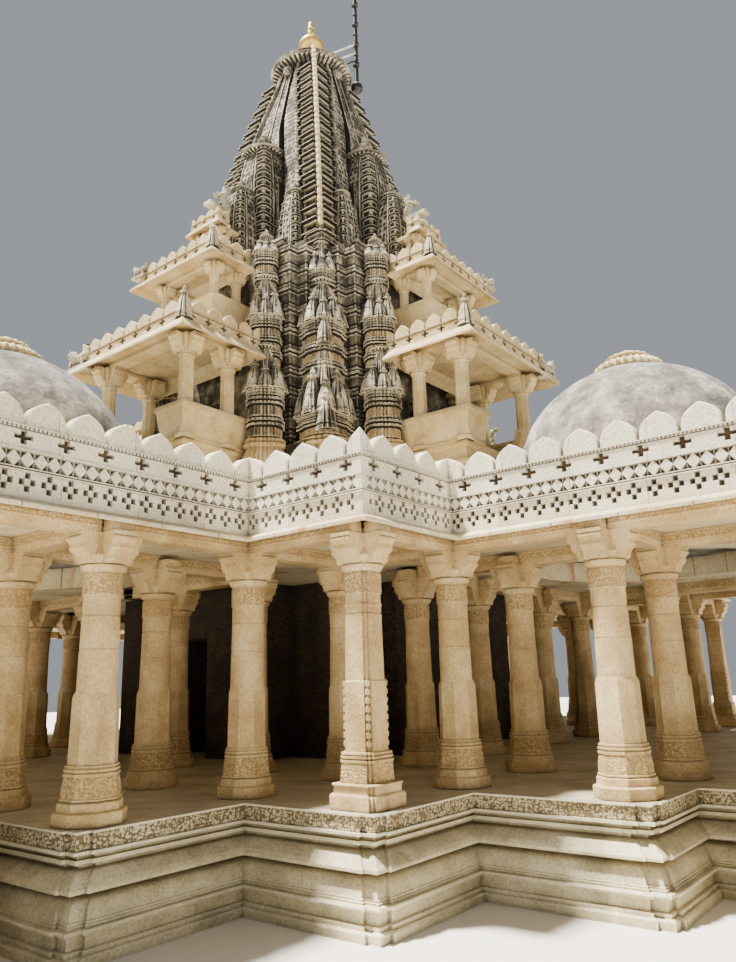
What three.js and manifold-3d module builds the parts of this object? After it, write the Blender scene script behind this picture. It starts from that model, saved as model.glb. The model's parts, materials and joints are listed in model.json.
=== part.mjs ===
// Hindu temple of carved stone on a stepped cross plan: moulded plinth, open
// halls of octagonal columns, sloping eaves, merlon parapets, four domes, and a
// curved central tower with clustered spirelets and three tiers of balconies.
// Millimetres, +Z up, origin at the middle of the plan on the courtyard level.
// +X is east, +Y is north, and each side repeats the east one by quarter turns.
import * as THREE from 'three';
import { mergeVertices } from 'three/addons/utils/BufferGeometryUtils.js';
import Module from 'manifold-3d';

const wasm = await Module();
wasm.setup();

// Column grid: distances of the column lines from the tower axis
const LINE_DOOR = 1600;
const LINE_INNER = 4000;
const LINE_ARM = 6310;
const LINE_CORE = 8630;
const LINE_BAY = 11240;
const LINE_END = 13850;

// Levels above the courtyard
const FLOOR = 1370;
const NECK = FLOOR + 3215;
const BEAM_BOTTOM = FLOOR + 3600;
const SLAB_BOTTOM = FLOOR + 3950;
const ROOF = FLOOR + 4300;
const EAVE_EDGE = FLOOR + 3690;
const EAVE_ROOT = FLOOR + 3940;
const PARAPET_TOP = FLOOR + 4800;
const MERLON_TIP = FLOOR + 5250;

// Distances outwards from a column line
const PARAPET_FACE = 150;
const EAVE_REACH = 500;
const PARAPET_THICK = 300;
const EAVE_THICK = 110;

const TOUCH_GAP = 0.3;
const MERLON_PITCH = 580;
const MERLON_WIDTH = 520;
const MERLON_THICK = 150;
const MERLON_SHOULDER = 250;

// Plinth courses, from the ground up: height of the top, reach beyond the column line
const PLINTH_COURSES = [
  { top: 400, reach: 720 },
  { top: 760, reach: 560 },
  { top: 930, reach: 620 },
  { top: 1140, reach: 380 },
  { top: FLOOR, reach: 500 },
];
const RECESS_INNER = 4480;

const DOME_CENTRE = 9820;
const DOME_RADIUS = 2800;
const DOME_THICK = 250;
const DRUM_RADIUS = 2900;
const DRUM_TOP = FLOOR + 5620;

const DOOR_HALF_WIDTH = 750;
const DOOR_HEIGHT = 2700;
const SANCTUM_ROOM = 2500;
const SANCTUM_FACE = 4750;
const SANCTUM_FACE_HALF = 2600;
const SANCTUM_CORNER = 3750;
const SANCTUM_CEILING = SLAB_BOTTOM - 400;

const SPIRE_FOOT = FLOOR + 13500;
const SPIRE_TOP = FLOOR + 22400;
const SPIRE_FOOT_HALF = 2750;
const SPIRE_TOP_HALF = 940;
const SPIRE_CURVE = 1.35;
// The broad band on each face, as parts of the spire's half width
const FACE_BAND_REACH = 1.1;
const FACE_BAND_WIDTH = 0.5;
const SHAFT_HALF = 3000;
const SHAFT_FACE = 3900;
const SHAFT_FACE_HALF = 1900;
const SHAFT_FACE_TOP = FLOOR + 13100;
// Rooms inside the tower shaft behind the lower and the middle balconies
const SHAFT_ROOMS = [
  { half: 1900, floor: FLOOR + 7150, ceiling: FLOOR + 10100, doorHalf: 480, doorTop: FLOOR + 9050 },
  { half: 1500, floor: FLOOR + 10800, ceiling: FLOOR + 12600, doorHalf: 330, doorTop: FLOOR + 12050 },
];

const CREAM = 0xe9dcbc;
const OCHRE = 0xc9ae7a;
const PLINTH_STONE = 0x9a957c;
const WEATHERED = 0x8a8478;
const DOME_GREY = 0x8d897f;
const GILT = 0xc9a34a;
const DARK_METAL = 0x2c2c30;

function toSolid(geometry) {
  geometry.deleteAttribute('normal');
  geometry.deleteAttribute('uv');
  const merged = mergeVertices(geometry, 0.01);
  const vertProperties = new Float32Array(merged.attributes.position.array);
  const triVerts = new Uint32Array(merged.index.array);
  return new wasm.Manifold(new wasm.Mesh({ numProp: 3, vertProperties, triVerts }));
}

function toGeometry(solid) {
  const mesh = solid.getMesh();
  const geometry = new THREE.BufferGeometry();
  geometry.setAttribute('position', new THREE.BufferAttribute(new Float32Array(mesh.vertProperties), 3));
  geometry.setIndex(new THREE.BufferAttribute(new Uint32Array(mesh.triVerts), 1));
  return geometry;
}

function join(solids) {
  return solids.reduce((whole, next) => whole.add(next));
}

function box(x0, x1, y0, y1, z0, z1) {
  const geometry = new THREE.BoxGeometry(x1 - x0, y1 - y0, z1 - z0);
  geometry.translate((x0 + x1) / 2, (y0 + y1) / 2, (z0 + z1) / 2);
  return toSolid(geometry);
}

// A box whose top is drawn in by inset on every side
function taperedBox(x0, x1, y0, y1, z0, z1, inset) {
  const geometry = new THREE.BoxGeometry(x1 - x0, y1 - y0, z1 - z0);
  const position = geometry.attributes.position;
  for (let i = 0; i < position.count; i += 1) {
    if (position.getZ(i) > 0) {
      position.setX(i, position.getX(i) - Math.sign(position.getX(i)) * inset);
      position.setY(i, position.getY(i) - Math.sign(position.getY(i)) * inset);
    }
  }
  geometry.translate((x0 + x1) / 2, (y0 + y1) / 2, (z0 + z1) / 2);
  return toSolid(geometry);
}

// A turned shape about an upright axis; with 4 or 8 sides the radii are half widths across the flats
function turned(profile, sides, x = 0, y = 0) {
  const flat = sides <= 8 ? 1 / Math.cos(Math.PI / sides) : 1;
  const points = profile.map(([r, z]) => new THREE.Vector2(r * flat, z));
  const geometry = new THREE.LatheGeometry(points, sides, Math.PI / sides);
  geometry.rotateX(Math.PI / 2);
  geometry.translate(x, y, 0);
  return toSolid(geometry);
}

function quarterTurn(solid, quarters) {
  return solid.rotate([0, 0, 90 * quarters]);
}

function mirrorAcross(solid) {
  return solid.mirror([0, 1, 0]);
}

const BEAM_HALF = 250;
const COLUMN_FOOT = 480;
const COLUMN_WAIST = 335;
const COLUMN_WAIST_RISE = 420;
const COLUMN_NECK = 275;
const COLUMN_HEAD = 295;
const SQUARE_SCALE = 0.87;

// A column: spreading foot, slightly tapering shaft and bracket capital. Octagonal, except the square
// ones at the outer corners
function column(x, y) {
  const square = x === LINE_CORE && y === LINE_CORE;
  const scale = square ? SQUARE_SCALE : 1;
  return turned([
    [0, FLOOR],
    [COLUMN_FOOT * scale, FLOOR],
    [COLUMN_WAIST * scale, FLOOR + COLUMN_WAIST_RISE],
    [COLUMN_NECK * scale, NECK],
    [COLUMN_HEAD, BEAM_BOTTOM + 20],
    [0, BEAM_BOTTOM + 20],
  ], square ? 4 : 8, x, y);
}

function beam(x0, x1, y0, y1) {
  return box(x0 - BEAM_HALF, x1 + BEAM_HALF, y0 - BEAM_HALF, y1 + BEAM_HALF, BEAM_BOTTOM, SLAB_BOTTOM);
}

// Four columns where two arms meet: the outer corner of the core and its neighbours
function cornerColonnade() {
  const lines = [LINE_ARM, LINE_CORE];
  const pieces = lines.flatMap((x) => lines.map((y) => column(x, y)));
  lines.forEach((line) => {
    pieces.push(beam(LINE_ARM, LINE_CORE, line, line));
    pieces.push(beam(line, line, LINE_ARM, LINE_CORE));
  });
  return join(pieces);
}

// Columns of the north half of the east arm, with the beams that they carry
function armColonnade() {
  const places = [
    [LINE_ARM, LINE_DOOR], [LINE_ARM, LINE_INNER],
    [LINE_CORE, LINE_INNER], [LINE_BAY, LINE_INNER], [LINE_END, LINE_INNER],
    [LINE_BAY, LINE_ARM], [LINE_END, LINE_ARM], [LINE_END, LINE_DOOR],
  ];
  const pieces = places.map(([x, y]) => column(x, y));
  pieces.push(beam(LINE_ARM, LINE_END, LINE_INNER, LINE_INNER));
  pieces.push(beam(LINE_ARM, LINE_ARM, LINE_DOOR, LINE_INNER));
  pieces.push(beam(LINE_BAY, LINE_BAY, LINE_INNER, LINE_ARM));
  pieces.push(beam(LINE_END, LINE_END, LINE_DOOR, LINE_ARM));
  const edgeStart = LINE_CORE + COLUMN_HEAD + TOUCH_GAP + BEAM_HALF;
  pieces.push(beam(edgeStart, LINE_END, LINE_ARM, LINE_ARM));
  return join(pieces);
}

function plinthCore() {
  let bottom = 0;
  return join(PLINTH_COURSES.map(({ top, reach }) => {
    const half = LINE_CORE + reach;
    const course = box(-half, half, -half, half, bottom, top);
    bottom = top;
    return course;
  }));
}

function plinthArm() {
  let bottom = 0;
  return join(PLINTH_COURSES.map(({ top, reach }) => {
    const half = LINE_ARM + reach;
    const end = LINE_END + reach;
    let course = box(LINE_CORE + reach + TOUCH_GAP, end, -half, half, bottom, top);
    [1, -1].forEach((side) => {
      const inner = side * (RECESS_INNER + reach);
      const outer = side * (half + 100);
      const low = Math.min(inner, outer);
      const high = Math.max(inner, outer);
      course = course.subtract(box(LINE_BAY + reach, LINE_END - reach, low, high, bottom - 1, top + 1));
    });
    bottom = top;
    return course;
  }));
}

// The sloping eave and the slab behind it, as a hollow tapered block round x0..x1, y0..y1
function eaveBlock(x0, x1, y0, y1) {
  const rise = EAVE_ROOT - EAVE_EDGE;
  const run = EAVE_REACH - PARAPET_FACE;
  const e = EAVE_REACH;
  const top = EAVE_EDGE + EAVE_THICK;
  const whole = taperedBox(x0 - e, x1 + e, y0 - e, y1 + e, top, EAVE_ROOT + EAVE_THICK, run);
  const edge = box(x0 - e, x1 + e, y0 - e, y1 + e, EAVE_EDGE, top);
  const h = BEAM_HALF + 1;
  const under = taperedBox(x0 - e, x1 + e, y0 - e, y1 + e, EAVE_EDGE - 1, EAVE_EDGE + rise, run);
  const beamSpace = box(x0 - h, x1 + h, y0 - h, y1 + h, EAVE_EDGE - 2, SLAB_BOTTOM);
  const p = PARAPET_FACE;
  const slab = box(x0 - p, x1 + p, y0 - p, y1 + p, SLAB_BOTTOM, ROOF);
  return whole.add(edge).subtract(under).subtract(beamSpace).add(slab);
}

// A straight run of parapet along X with its outer face at y: a wall with a row of merlons, half ones at
// the ends. At a re-entrant corner the wall runs on by tail behind its neighbour
function parapetRun(x0, x1, y, tail = 0) {
  const count = Math.round((x1 - x0) / MERLON_PITCH);
  const pitch = (x1 - x0) / count;
  const half = MERLON_WIDTH / 2;
  const outline = new THREE.Shape([
    new THREE.Vector2(-half, -5),
    new THREE.Vector2(half, -5),
    new THREE.Vector2(half, MERLON_SHOULDER),
    new THREE.Vector2(0, MERLON_TIP - PARAPET_TOP),
    new THREE.Vector2(-half, MERLON_SHOULDER),
  ]);
  const row = [];
  for (let i = 0; i <= count; i += 1) {
    const geometry = new THREE.ExtrudeGeometry(outline, { depth: MERLON_THICK, bevelEnabled: false });
    geometry.rotateX(Math.PI / 2);
    geometry.translate(x0 + pitch * i, y, PARAPET_TOP);
    row.push(toSolid(geometry));
  }
  const start = tail > 0 ? x0 - MERLON_THICK : x0;
  const within = box(start, x1, y - PARAPET_THICK, y, ROOF, MERLON_TIP);
  const wall = box(x0 - tail, x1, y - PARAPET_THICK, y, ROOF, PARAPET_TOP);
  return wall.add(join(row).intersect(within));
}

function roofCore(armOuter, domeHoles) {
  const half = LINE_CORE;
  let roof = eaveBlock(-half, half, -half, half);
  for (let side = 0; side < 4; side += 1) {
    roof = roof.subtract(quarterTurn(armOuter, side));
    roof = roof.subtract(quarterTurn(domeHoles, side));
  }
  return roof;
}

// The solid that an arm's eave fills, which the core's eave is cut back to
function armOuterSolid() {
  const e = EAVE_REACH + TOUCH_GAP;
  const run = EAVE_REACH - PARAPET_FACE;
  const edgeTop = EAVE_EDGE + EAVE_THICK;
  const top = EAVE_ROOT + EAVE_THICK;
  const x0 = LINE_CORE + PARAPET_FACE;
  const half = LINE_ARM + PARAPET_FACE;
  const end = LINE_END + e;
  const reach = LINE_ARM + e;
  const tapered = taperedBox(-LINE_END, end, -reach, reach, edgeTop, top, run);
  const edge = box(x0, end, -reach, reach, EAVE_EDGE - 5, edgeTop);
  const block = box(x0, LINE_END, -half, half, SLAB_BOTTOM - 5, ROOF + 5);
  const beyondCore = box(x0, end + e, -reach - e, reach + e, EAVE_EDGE - 10, ROOF + 10);
  return join([tapered, edge, block]).intersect(beyondCore);
}

function roofArm(domeHole) {
  const x0 = LINE_CORE + PARAPET_FACE + TOUCH_GAP;
  const beyondCore = box(x0, LINE_END + 2000, -LINE_END, LINE_END, 0, ROOF + 10);
  const coreBeam = LINE_CORE + BEAM_HALF + 1;
  const coreBeams = box(0, coreBeam, -coreBeam, coreBeam, EAVE_EDGE - 5, SLAB_BOTTOM);
  return eaveBlock(-LINE_END, LINE_END, -LINE_ARM, LINE_ARM)
    .intersect(beyondCore).subtract(coreBeams).subtract(domeHole);
}

// The parapets round the east arm and round the corner of the core north of it
function parapetArm() {
  const side = LINE_ARM + PARAPET_FACE;
  const end = LINE_END + PARAPET_FACE;
  const core = LINE_CORE + PARAPET_FACE;
  const swapAxes = (solid) => quarterTurn(mirrorAcross(solid), 1);
  const corner = parapetRun(side, core, core, PARAPET_THICK);
  return join([
    parapetRun(core, end, side, PARAPET_THICK),
    mirrorAcross(parapetRun(core + TOUCH_GAP, end, side)),
    swapAxes(parapetRun(-side, side, end)),
    corner,
    swapAxes(corner),
  ]);
}

function dome() {
  const arc = (radius, steps) => Array.from({ length: steps + 1 }, (_, i) => {
    const angle = (Math.PI / 2) * (1 - i / steps);
    return [i === 0 ? 0 : radius * Math.cos(angle), DRUM_TOP + radius * Math.sin(angle)];
  });
  const outer = arc(DOME_RADIUS, 5);
  const inner = arc(DOME_RADIUS - DOME_THICK, 2);
  const profile = [
    ...outer,
    [DRUM_RADIUS, DRUM_TOP],
    [DRUM_RADIUS, ROOF],
    [DOME_RADIUS - DOME_THICK, ROOF],
    ...inner.reverse(),
  ];
  const top = DRUM_TOP + DOME_RADIUS;
  const cap = turned([
    [0, top - 60],
    [560, top - 60],
    [560, top + 120],
    [150, top + 280],
    [0, top + 520],
  ], 10);
  return turned(profile.reverse(), 16).add(cap).translate([DOME_CENTRE, 0, 0]);
}

function sanctum() {
  const walls = join([
    box(-SANCTUM_CORNER, SANCTUM_CORNER, -SANCTUM_CORNER, SANCTUM_CORNER, FLOOR, SLAB_BOTTOM),
    box(-SANCTUM_FACE, SANCTUM_FACE, -SANCTUM_FACE_HALF, SANCTUM_FACE_HALF, FLOOR, SLAB_BOTTOM),
    box(-SANCTUM_FACE_HALF, SANCTUM_FACE_HALF, -SANCTUM_FACE, SANCTUM_FACE, FLOOR, SLAB_BOTTOM),
  ]);
  const room = box(-SANCTUM_ROOM, SANCTUM_ROOM, -SANCTUM_ROOM, SANCTUM_ROOM, FLOOR - 5, SANCTUM_CEILING);
  const far = SANCTUM_FACE + 100;
  const passage = box(-far, far, -DOOR_HALF_WIDTH, DOOR_HALF_WIDTH, FLOOR - 5, FLOOR + DOOR_HEIGHT);
  return walls.subtract(room).subtract(passage).subtract(quarterTurn(passage, 1));
}

function spireHalf(z) {
  const t = Math.max(0, (z - SPIRE_FOOT) / (SPIRE_TOP - SPIRE_FOOT));
  return SPIRE_TOP_HALF + (SPIRE_FOOT_HALF - SPIRE_TOP_HALF) * (1 - t ** SPIRE_CURVE);
}

// The main spire: a square core with a broad central band on each face, both curving in
function spire(grow = 0) {
  const steps = 8;
  const profile = [[0, SPIRE_FOOT - grow]];
  for (let i = 0; i <= steps; i += 1) {
    const z = SPIRE_FOOT + ((SPIRE_TOP - SPIRE_FOOT) * i) / steps;
    profile.push([spireHalf(z) + grow, i === 0 ? z - grow : z]);
  }
  profile.push([0, SPIRE_TOP]);
  const core = turned(profile, 4);
  return join([
    core,
    core.scale([FACE_BAND_REACH, FACE_BAND_WIDTH, 1]),
    core.scale([FACE_BAND_WIDTH, FACE_BAND_REACH, 1]),
  ]);
}

function shaft() {
  const body = join([
    box(-SHAFT_HALF, SHAFT_HALF, -SHAFT_HALF, SHAFT_HALF, ROOF, SPIRE_FOOT),
    box(-SHAFT_FACE, SHAFT_FACE, -SHAFT_FACE_HALF, SHAFT_FACE_HALF, ROOF, SHAFT_FACE_TOP),
    box(-SHAFT_FACE_HALF, SHAFT_FACE_HALF, -SHAFT_FACE, SHAFT_FACE, ROOF, SHAFT_FACE_TOP),
  ]);
  return SHAFT_ROOMS.reduce((walls, room) => {
    const far = SHAFT_FACE + 100;
    const inside = box(-room.half, room.half, -room.half, room.half, room.floor, room.ceiling);
    const passage = box(-far, far, -room.doorHalf, room.doorHalf, room.floor, room.doorTop);
    return walls.subtract(inside).subtract(passage).subtract(quarterTurn(passage, 1));
  }, body);
}

// A slender stack of three spirelets over a moulded foot, its widths drawn for a half width of 600
function spireletStack(x, y, half) {
  const s = half / 600;
  return turned([
    [0, ROOF],
    [720 * s, ROOF],
    [720 * s, FLOOR + 7300],
    [600 * s, FLOOR + 7450],
    [620 * s, FLOOR + 8300],
    [540 * s, FLOOR + 9100],
    [330 * s, FLOOR + 10000],
    [470 * s, FLOOR + 10050],
    [490 * s, FLOOR + 11100],
    [400 * s, FLOOR + 11800],
    [200 * s, FLOOR + 12400],
    [330 * s, FLOOR + 12450],
    [330 * s, FLOOR + 12900],
    [60 * s, FLOOR + 13700],
    [0, FLOOR + 13700],
  ], 4, x, y);
}

const CORNER_STACK = { place: 3100, half: 640 };
const SIDE_STACK = { out: 4100, side: 2000, half: 560 };
const CLUSTER_BASE = { inner: SHAFT_FACE_HALF + TOUCH_GAP, outer: SHAFT_FACE, top: FLOOR + 7300 };

// The stacks of spirelets at the north-east corner of the tower, on a common base
function cluster() {
  const base = CLUSTER_BASE;
  const pieces = [
    spireletStack(CORNER_STACK.place, CORNER_STACK.place, CORNER_STACK.half),
    spireletStack(SIDE_STACK.out, SIDE_STACK.side, SIDE_STACK.half),
    spireletStack(SIDE_STACK.side, SIDE_STACK.out, SIDE_STACK.half),
    box(base.inner, base.outer, base.inner, CORNER_STACK.place, ROOF, base.top),
    box(base.inner, CORNER_STACK.place, base.inner, base.outer, ROOF, base.top),
  ];
  return join(pieces).subtract(shaft());
}

const TALL_HALF_SPIRE_OUT = 2260;
const LOW_HALF_SPIRE_OUT = 3200;
const BESIDE_SPIRE = { out: 2560, side: 1300 };
const LEDGE = { inner: 2000, outer: 3160, half: 1650, top: FLOOR + 13900 };

// Half spires against the east face of the main spire, on a common ledge
function faceSpires(spireGrown) {
  const tall = turned([
    [0, SPIRE_FOOT - 500],
    [780, SPIRE_FOOT - 500],
    [800, FLOOR + 15400],
    [690, FLOOR + 17300],
    [520, FLOOR + 18050],
    [640, FLOOR + 18100],
    [640, FLOOR + 18230],
    [0, FLOOR + 18400],
  ], 4, TALL_HALF_SPIRE_OUT, 0);
  const low = turned([
    [0, SHAFT_FACE_TOP + TOUCH_GAP],
    [520, SHAFT_FACE_TOP + TOUCH_GAP],
    [500, FLOOR + 14700],
    [340, FLOOR + 15900],
    [420, FLOOR + 15950],
    [420, FLOOR + 16050],
    [0, FLOOR + 16200],
  ], 4, LOW_HALF_SPIRE_OUT, 0);
  const beside = turned([
    [0, SPIRE_FOOT],
    [400, SPIRE_FOOT],
    [380, FLOOR + 14700],
    [220, FLOOR + 15550],
    [280, FLOOR + 15600],
    [0, FLOOR + 15800],
  ], 4, BESIDE_SPIRE.out, BESIDE_SPIRE.side);
  const ledge = box(LEDGE.inner, LEDGE.outer, -LEDGE.half, LEDGE.half, SPIRE_FOOT + TOUCH_GAP, LEDGE.top);
  const joined = join([tall, low, beside, mirrorAcross(beside), ledge]);
  return joined.subtract(spireGrown).subtract(shaft());
}

const AMALAKA_TOP = SPIRE_TOP + 800;

function amalaka() {
  return turned([
    [0, SPIRE_TOP],
    [900, SPIRE_TOP],
    [1300, SPIRE_TOP + 120],
    [1400, SPIRE_TOP + 260],
    [1250, SPIRE_TOP + 420],
    [700, SPIRE_TOP + 650],
    [520, AMALAKA_TOP],
    [0, AMALAKA_TOP],
  ], 24);
}

function kalasha() {
  const z = AMALAKA_TOP;
  return turned([
    [0, z],
    [300, z],
    [260, z + 120],
    [420, z + 380],
    [380, z + 600],
    [150, z + 760],
    [200, z + 860],
    [90, z + 1100],
    [0, z + 1430],
  ], 16);
}

const POLE_PLACE = 1130;
const POLE_FOOT = FLOOR + 21900;
const POLE_TOP = FLOOR + 26400;

function flagpole(spireGrown) {
  const pole = turned([
    [0, POLE_FOOT],
    [130, POLE_FOOT],
    [130, POLE_FOOT + 150],
    [65, POLE_FOOT + 160],
    [65, POLE_TOP],
    [0, POLE_TOP],
  ], 10, -POLE_PLACE, POLE_PLACE);
  return pole.subtract(spireGrown);
}

// A block of the porch, kept in front of the spirelet stacks and carried back between them
function porchBlock(t, block) {
  const front = box(t.stackOut, LINE_END, -LINE_END, LINE_END, 0, SPIRE_TOP);
  const between = box(t.back, t.stackOut + 1, -t.stackSide, t.stackSide, 0, SPIRE_TOP);
  return block.intersect(front.add(between));
}

// One balcony of a porch tier, standing out from the east face
function balcony(t) {
  const pieces = [];
  const foot = t.floor - 20;
  const taper = 0.92;
  const capital = { spread: 1.7, rise: 350 };
  [t.columnOut, t.columnBack].forEach((u) => {
    [1, -1].forEach((side) => pieces.push(turned([
      [0, foot],
      [t.columnHalf, foot],
      [t.columnHalf * taper, t.eave - capital.rise],
      [t.columnHalf * capital.spread, t.slab],
      [0, t.slab],
    ], t.columnSides, u, side * t.columnSide)));
  });
  const lean = 180;
  const seatThick = 260;
  const wallOut = t.seatOut - 120;
  const wallSide = t.seatSide - 120;
  pieces.push(box(t.back, wallOut, -wallSide, wallSide, t.foot, t.floor));
  const seatFoot = t.floor - 10;
  const seatWall = taperedBox(-t.seatOut, t.seatOut, -t.seatSide, t.seatSide, seatFoot, t.sill, -lean);
  const seatOut = t.seatOut - seatThick;
  const seatSide = t.seatSide - seatThick;
  const seatRoom = taperedBox(-seatOut, seatOut, -seatSide, seatSide, t.floor, t.sill + 10, -lean);
  const entry = box(0, t.seatOut + 400, -t.entryHalf, t.entryHalf, t.floor, t.sill + 20);
  pieces.push(seatWall.subtract(seatRoom).subtract(entry));
  const run = t.eaveOut - t.parapetOut;
  const rim = 70;
  const ceiling = 60;
  const out = t.eaveOut;
  const across = t.eaveSide;
  const roof = taperedBox(-out, out, -across, across, t.eave + rim, t.slab + rim, run);
  const edge = box(-out, out, -across, across, t.eave, t.eave + rim);
  const under = taperedBox(-out, out, -across, across, t.eave - 1, t.slab - ceiling, run);
  pieces.push(roof.add(edge).subtract(under));
  const side = t.eaveSide - run;
  const p = t.parapetThick;
  const parapet = box(-t.parapetOut, t.parapetOut, -side, side, t.slab, t.top);
  const inside = box(-t.parapetOut * 2, t.parapetOut - p, -side + p, side - p, t.slab + rim, t.top + 1);
  pieces.push(parapet.subtract(inside));
  return porchBlock(t, join(pieces));
}

const LOWER_PORCH = {
  back: SHAFT_FACE + TOUCH_GAP, stackOut: 4790, stackSide: 1310,
  foot: ROOF, floor: FLOOR + 7150, sill: FLOOR + 7970,
  seatOut: 6400, seatSide: 1690, entryHalf: 850,
  columnOut: 6270, columnBack: 5000, columnSide: 1580, columnHalf: 175, columnSides: 8,
  eave: FLOOR + 9500, slab: FLOOR + 9780, top: FLOOR + 10230,
  eaveOut: 7080, eaveSide: 2370, parapetOut: 6800, parapetThick: 160,
};
const MIDDLE_PORCH = {
  back: SHAFT_FACE + TOUCH_GAP, stackOut: 4560, stackSide: 1540,
  foot: FLOOR + 9850, floor: FLOOR + 10800, sill: FLOOR + 11430,
  seatOut: 5130, seatSide: 1120, entryHalf: 400,
  columnOut: 5020, columnBack: 4250, columnSide: 1010, columnHalf: 125, columnSides: 4,
  eave: FLOOR + 12250, slab: FLOOR + 12450, top: FLOOR + 12800,
  eaveOut: 5730, eaveSide: 1710, parapetOut: 5500, parapetThick: 120,
};
const UPPER_PORCH = {
  back: SHAFT_FACE + TOUCH_GAP, stackOut: 4560, stackSide: 1540,
  foot: FLOOR + 12510, floor: FLOOR + 13000, sill: FLOOR + 13350,
  seatOut: 4420, seatSide: 480, entryHalf: 200,
  columnOut: 4330, columnBack: 4100, columnSide: 400, columnHalf: 80, columnSides: 4,
  eave: FLOOR + 14000, slab: FLOOR + 14150, top: FLOOR + 14450,
  eaveOut: 4680, eaveSide: 690, parapetOut: 4560, parapetThick: 80,
};

const temple = new THREE.Group();

function addPiece(name, solid, color, roughness = 0.9, metalness = 0) {
  const material = new THREE.MeshStandardMaterial({ color, roughness, metalness });
  const mesh = new THREE.Mesh(toGeometry(solid), material);
  mesh.name = name;
  temple.add(mesh);
}

const domeHole = turned([
  [0, SLAB_BOTTOM - 10],
  [DOME_RADIUS - DOME_THICK, SLAB_BOTTOM - 10],
  [DOME_RADIUS - DOME_THICK, ROOF + 10],
  [0, ROOF + 10],
], 16).translate([DOME_CENTRE, 0, 0]);

const pieces = {
  plinth: plinthArm(),
  corner: cornerColonnade(),
  colonnade: armColonnade(),
  roof: roofArm(domeHole),
  parapet: parapetArm(),
  dome: dome(),
};

addPiece('plinth_core', plinthCore(), PLINTH_STONE);
addPiece('sanctum_walls', sanctum(), OCHRE);
addPiece('roof_core', roofCore(armOuterSolid(), domeHole), CREAM);
addPiece('tower_shaft', shaft(), WEATHERED);
addPiece('tower_spire', spire(), WEATHERED);
addPiece('tower_amalaka', amalaka(), WEATHERED);
addPiece('tower_kalasha', kalasha(), GILT, 0.4, 0.8);
addPiece('flagpole', flagpole(spire(TOUCH_GAP)), DARK_METAL, 0.5, 0.6);

const clusterPiece = cluster();
const faceSpirePiece = faceSpires(spire(TOUCH_GAP));
const lowerPorchPiece = balcony(LOWER_PORCH);
const upperPorchPiece = balcony(MIDDLE_PORCH).add(balcony(UPPER_PORCH));

['east', 'north', 'west', 'south'].forEach((side, quarters) => {
  const turn = (solid) => quarterTurn(solid, quarters);
  const next = ['north', 'west', 'south', 'east'][quarters];
  addPiece(`plinth_${side}`, turn(pieces.plinth), PLINTH_STONE);
  addPiece(`corner_colonnade_${side}_${next}`, turn(pieces.corner), OCHRE);
  addPiece(`colonnade_${side}_left`, turn(pieces.colonnade), OCHRE);
  addPiece(`colonnade_${side}_right`, turn(mirrorAcross(pieces.colonnade)), OCHRE);
  addPiece(`roof_${side}`, turn(pieces.roof), CREAM);
  addPiece(`parapet_${side}`, turn(pieces.parapet), CREAM);
  addPiece(`dome_${side}`, turn(pieces.dome), DOME_GREY);
  addPiece(`spirelets_${side}_${next}`, turn(clusterPiece), WEATHERED);
  addPiece(`half_spires_${side}`, turn(faceSpirePiece), WEATHERED);
  addPiece(`porch_lower_${side}`, turn(lowerPorchPiece), CREAM);
  addPiece(`porch_upper_${side}`, turn(upperPorchPiece), CREAM);
});

export default temple;
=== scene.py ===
# Looks of a carved stone temple: moulded plinth, octagonal columns, merlon
# parapets, plastered domes and a weathered tower with spirelets and balconies.
# Metres, z above the courtyard, x east, y north. Each side repeats the east one.
import json
import math

import bmesh
import bpy
from mathutils import Matrix, Vector

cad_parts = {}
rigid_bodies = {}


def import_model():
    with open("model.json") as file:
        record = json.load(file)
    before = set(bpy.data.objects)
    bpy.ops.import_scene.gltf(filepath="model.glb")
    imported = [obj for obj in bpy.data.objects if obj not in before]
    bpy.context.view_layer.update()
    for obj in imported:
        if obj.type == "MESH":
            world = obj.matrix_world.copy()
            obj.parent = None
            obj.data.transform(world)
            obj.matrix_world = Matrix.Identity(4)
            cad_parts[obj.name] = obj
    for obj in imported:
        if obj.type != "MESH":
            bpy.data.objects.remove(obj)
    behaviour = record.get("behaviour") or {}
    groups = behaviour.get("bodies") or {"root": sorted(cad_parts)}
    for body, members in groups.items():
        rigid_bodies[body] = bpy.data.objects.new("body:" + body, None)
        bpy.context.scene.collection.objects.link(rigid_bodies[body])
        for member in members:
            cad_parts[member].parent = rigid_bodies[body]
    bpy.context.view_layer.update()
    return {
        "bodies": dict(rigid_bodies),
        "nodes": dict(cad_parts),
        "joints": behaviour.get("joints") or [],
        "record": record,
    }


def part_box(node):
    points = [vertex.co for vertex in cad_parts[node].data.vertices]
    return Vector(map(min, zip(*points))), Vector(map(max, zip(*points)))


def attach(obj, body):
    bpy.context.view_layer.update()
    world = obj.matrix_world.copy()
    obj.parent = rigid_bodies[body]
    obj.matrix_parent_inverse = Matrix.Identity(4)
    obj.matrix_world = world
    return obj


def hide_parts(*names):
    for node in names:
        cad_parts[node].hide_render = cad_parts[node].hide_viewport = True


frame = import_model()

# Column lines, from the tower's axis
LINE_DOOR = 1.60
LINE_INNER = 4.00
LINE_ARM = 6.31
LINE_CORE = 8.63
LINE_BAY = 11.24
LINE_END = 13.85
RECESS_INNER = 4.48

# Levels
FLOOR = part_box("plinth_core")[1].z
SLAB_BOTTOM = FLOOR + 3.84
ROOF = FLOOR + 4.30
BAND_FOOT = FLOOR + 3.87
MERLON_PITCH = 0.58
PARAPET_LINE = 0.15

DOME_CENTRE = 9.82
DOME_RADIUS = 2.80
DRUM_TOP = FLOOR + 5.62

SPIRE_FOOT = FLOOR + 13.5
SPIRE_TOP = FLOOR + 22.4
SPIRE_FOOT_HALF = 2.75
SPIRE_TOP_HALF = 0.94
SPIRE_CURVE = 1.35

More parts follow.
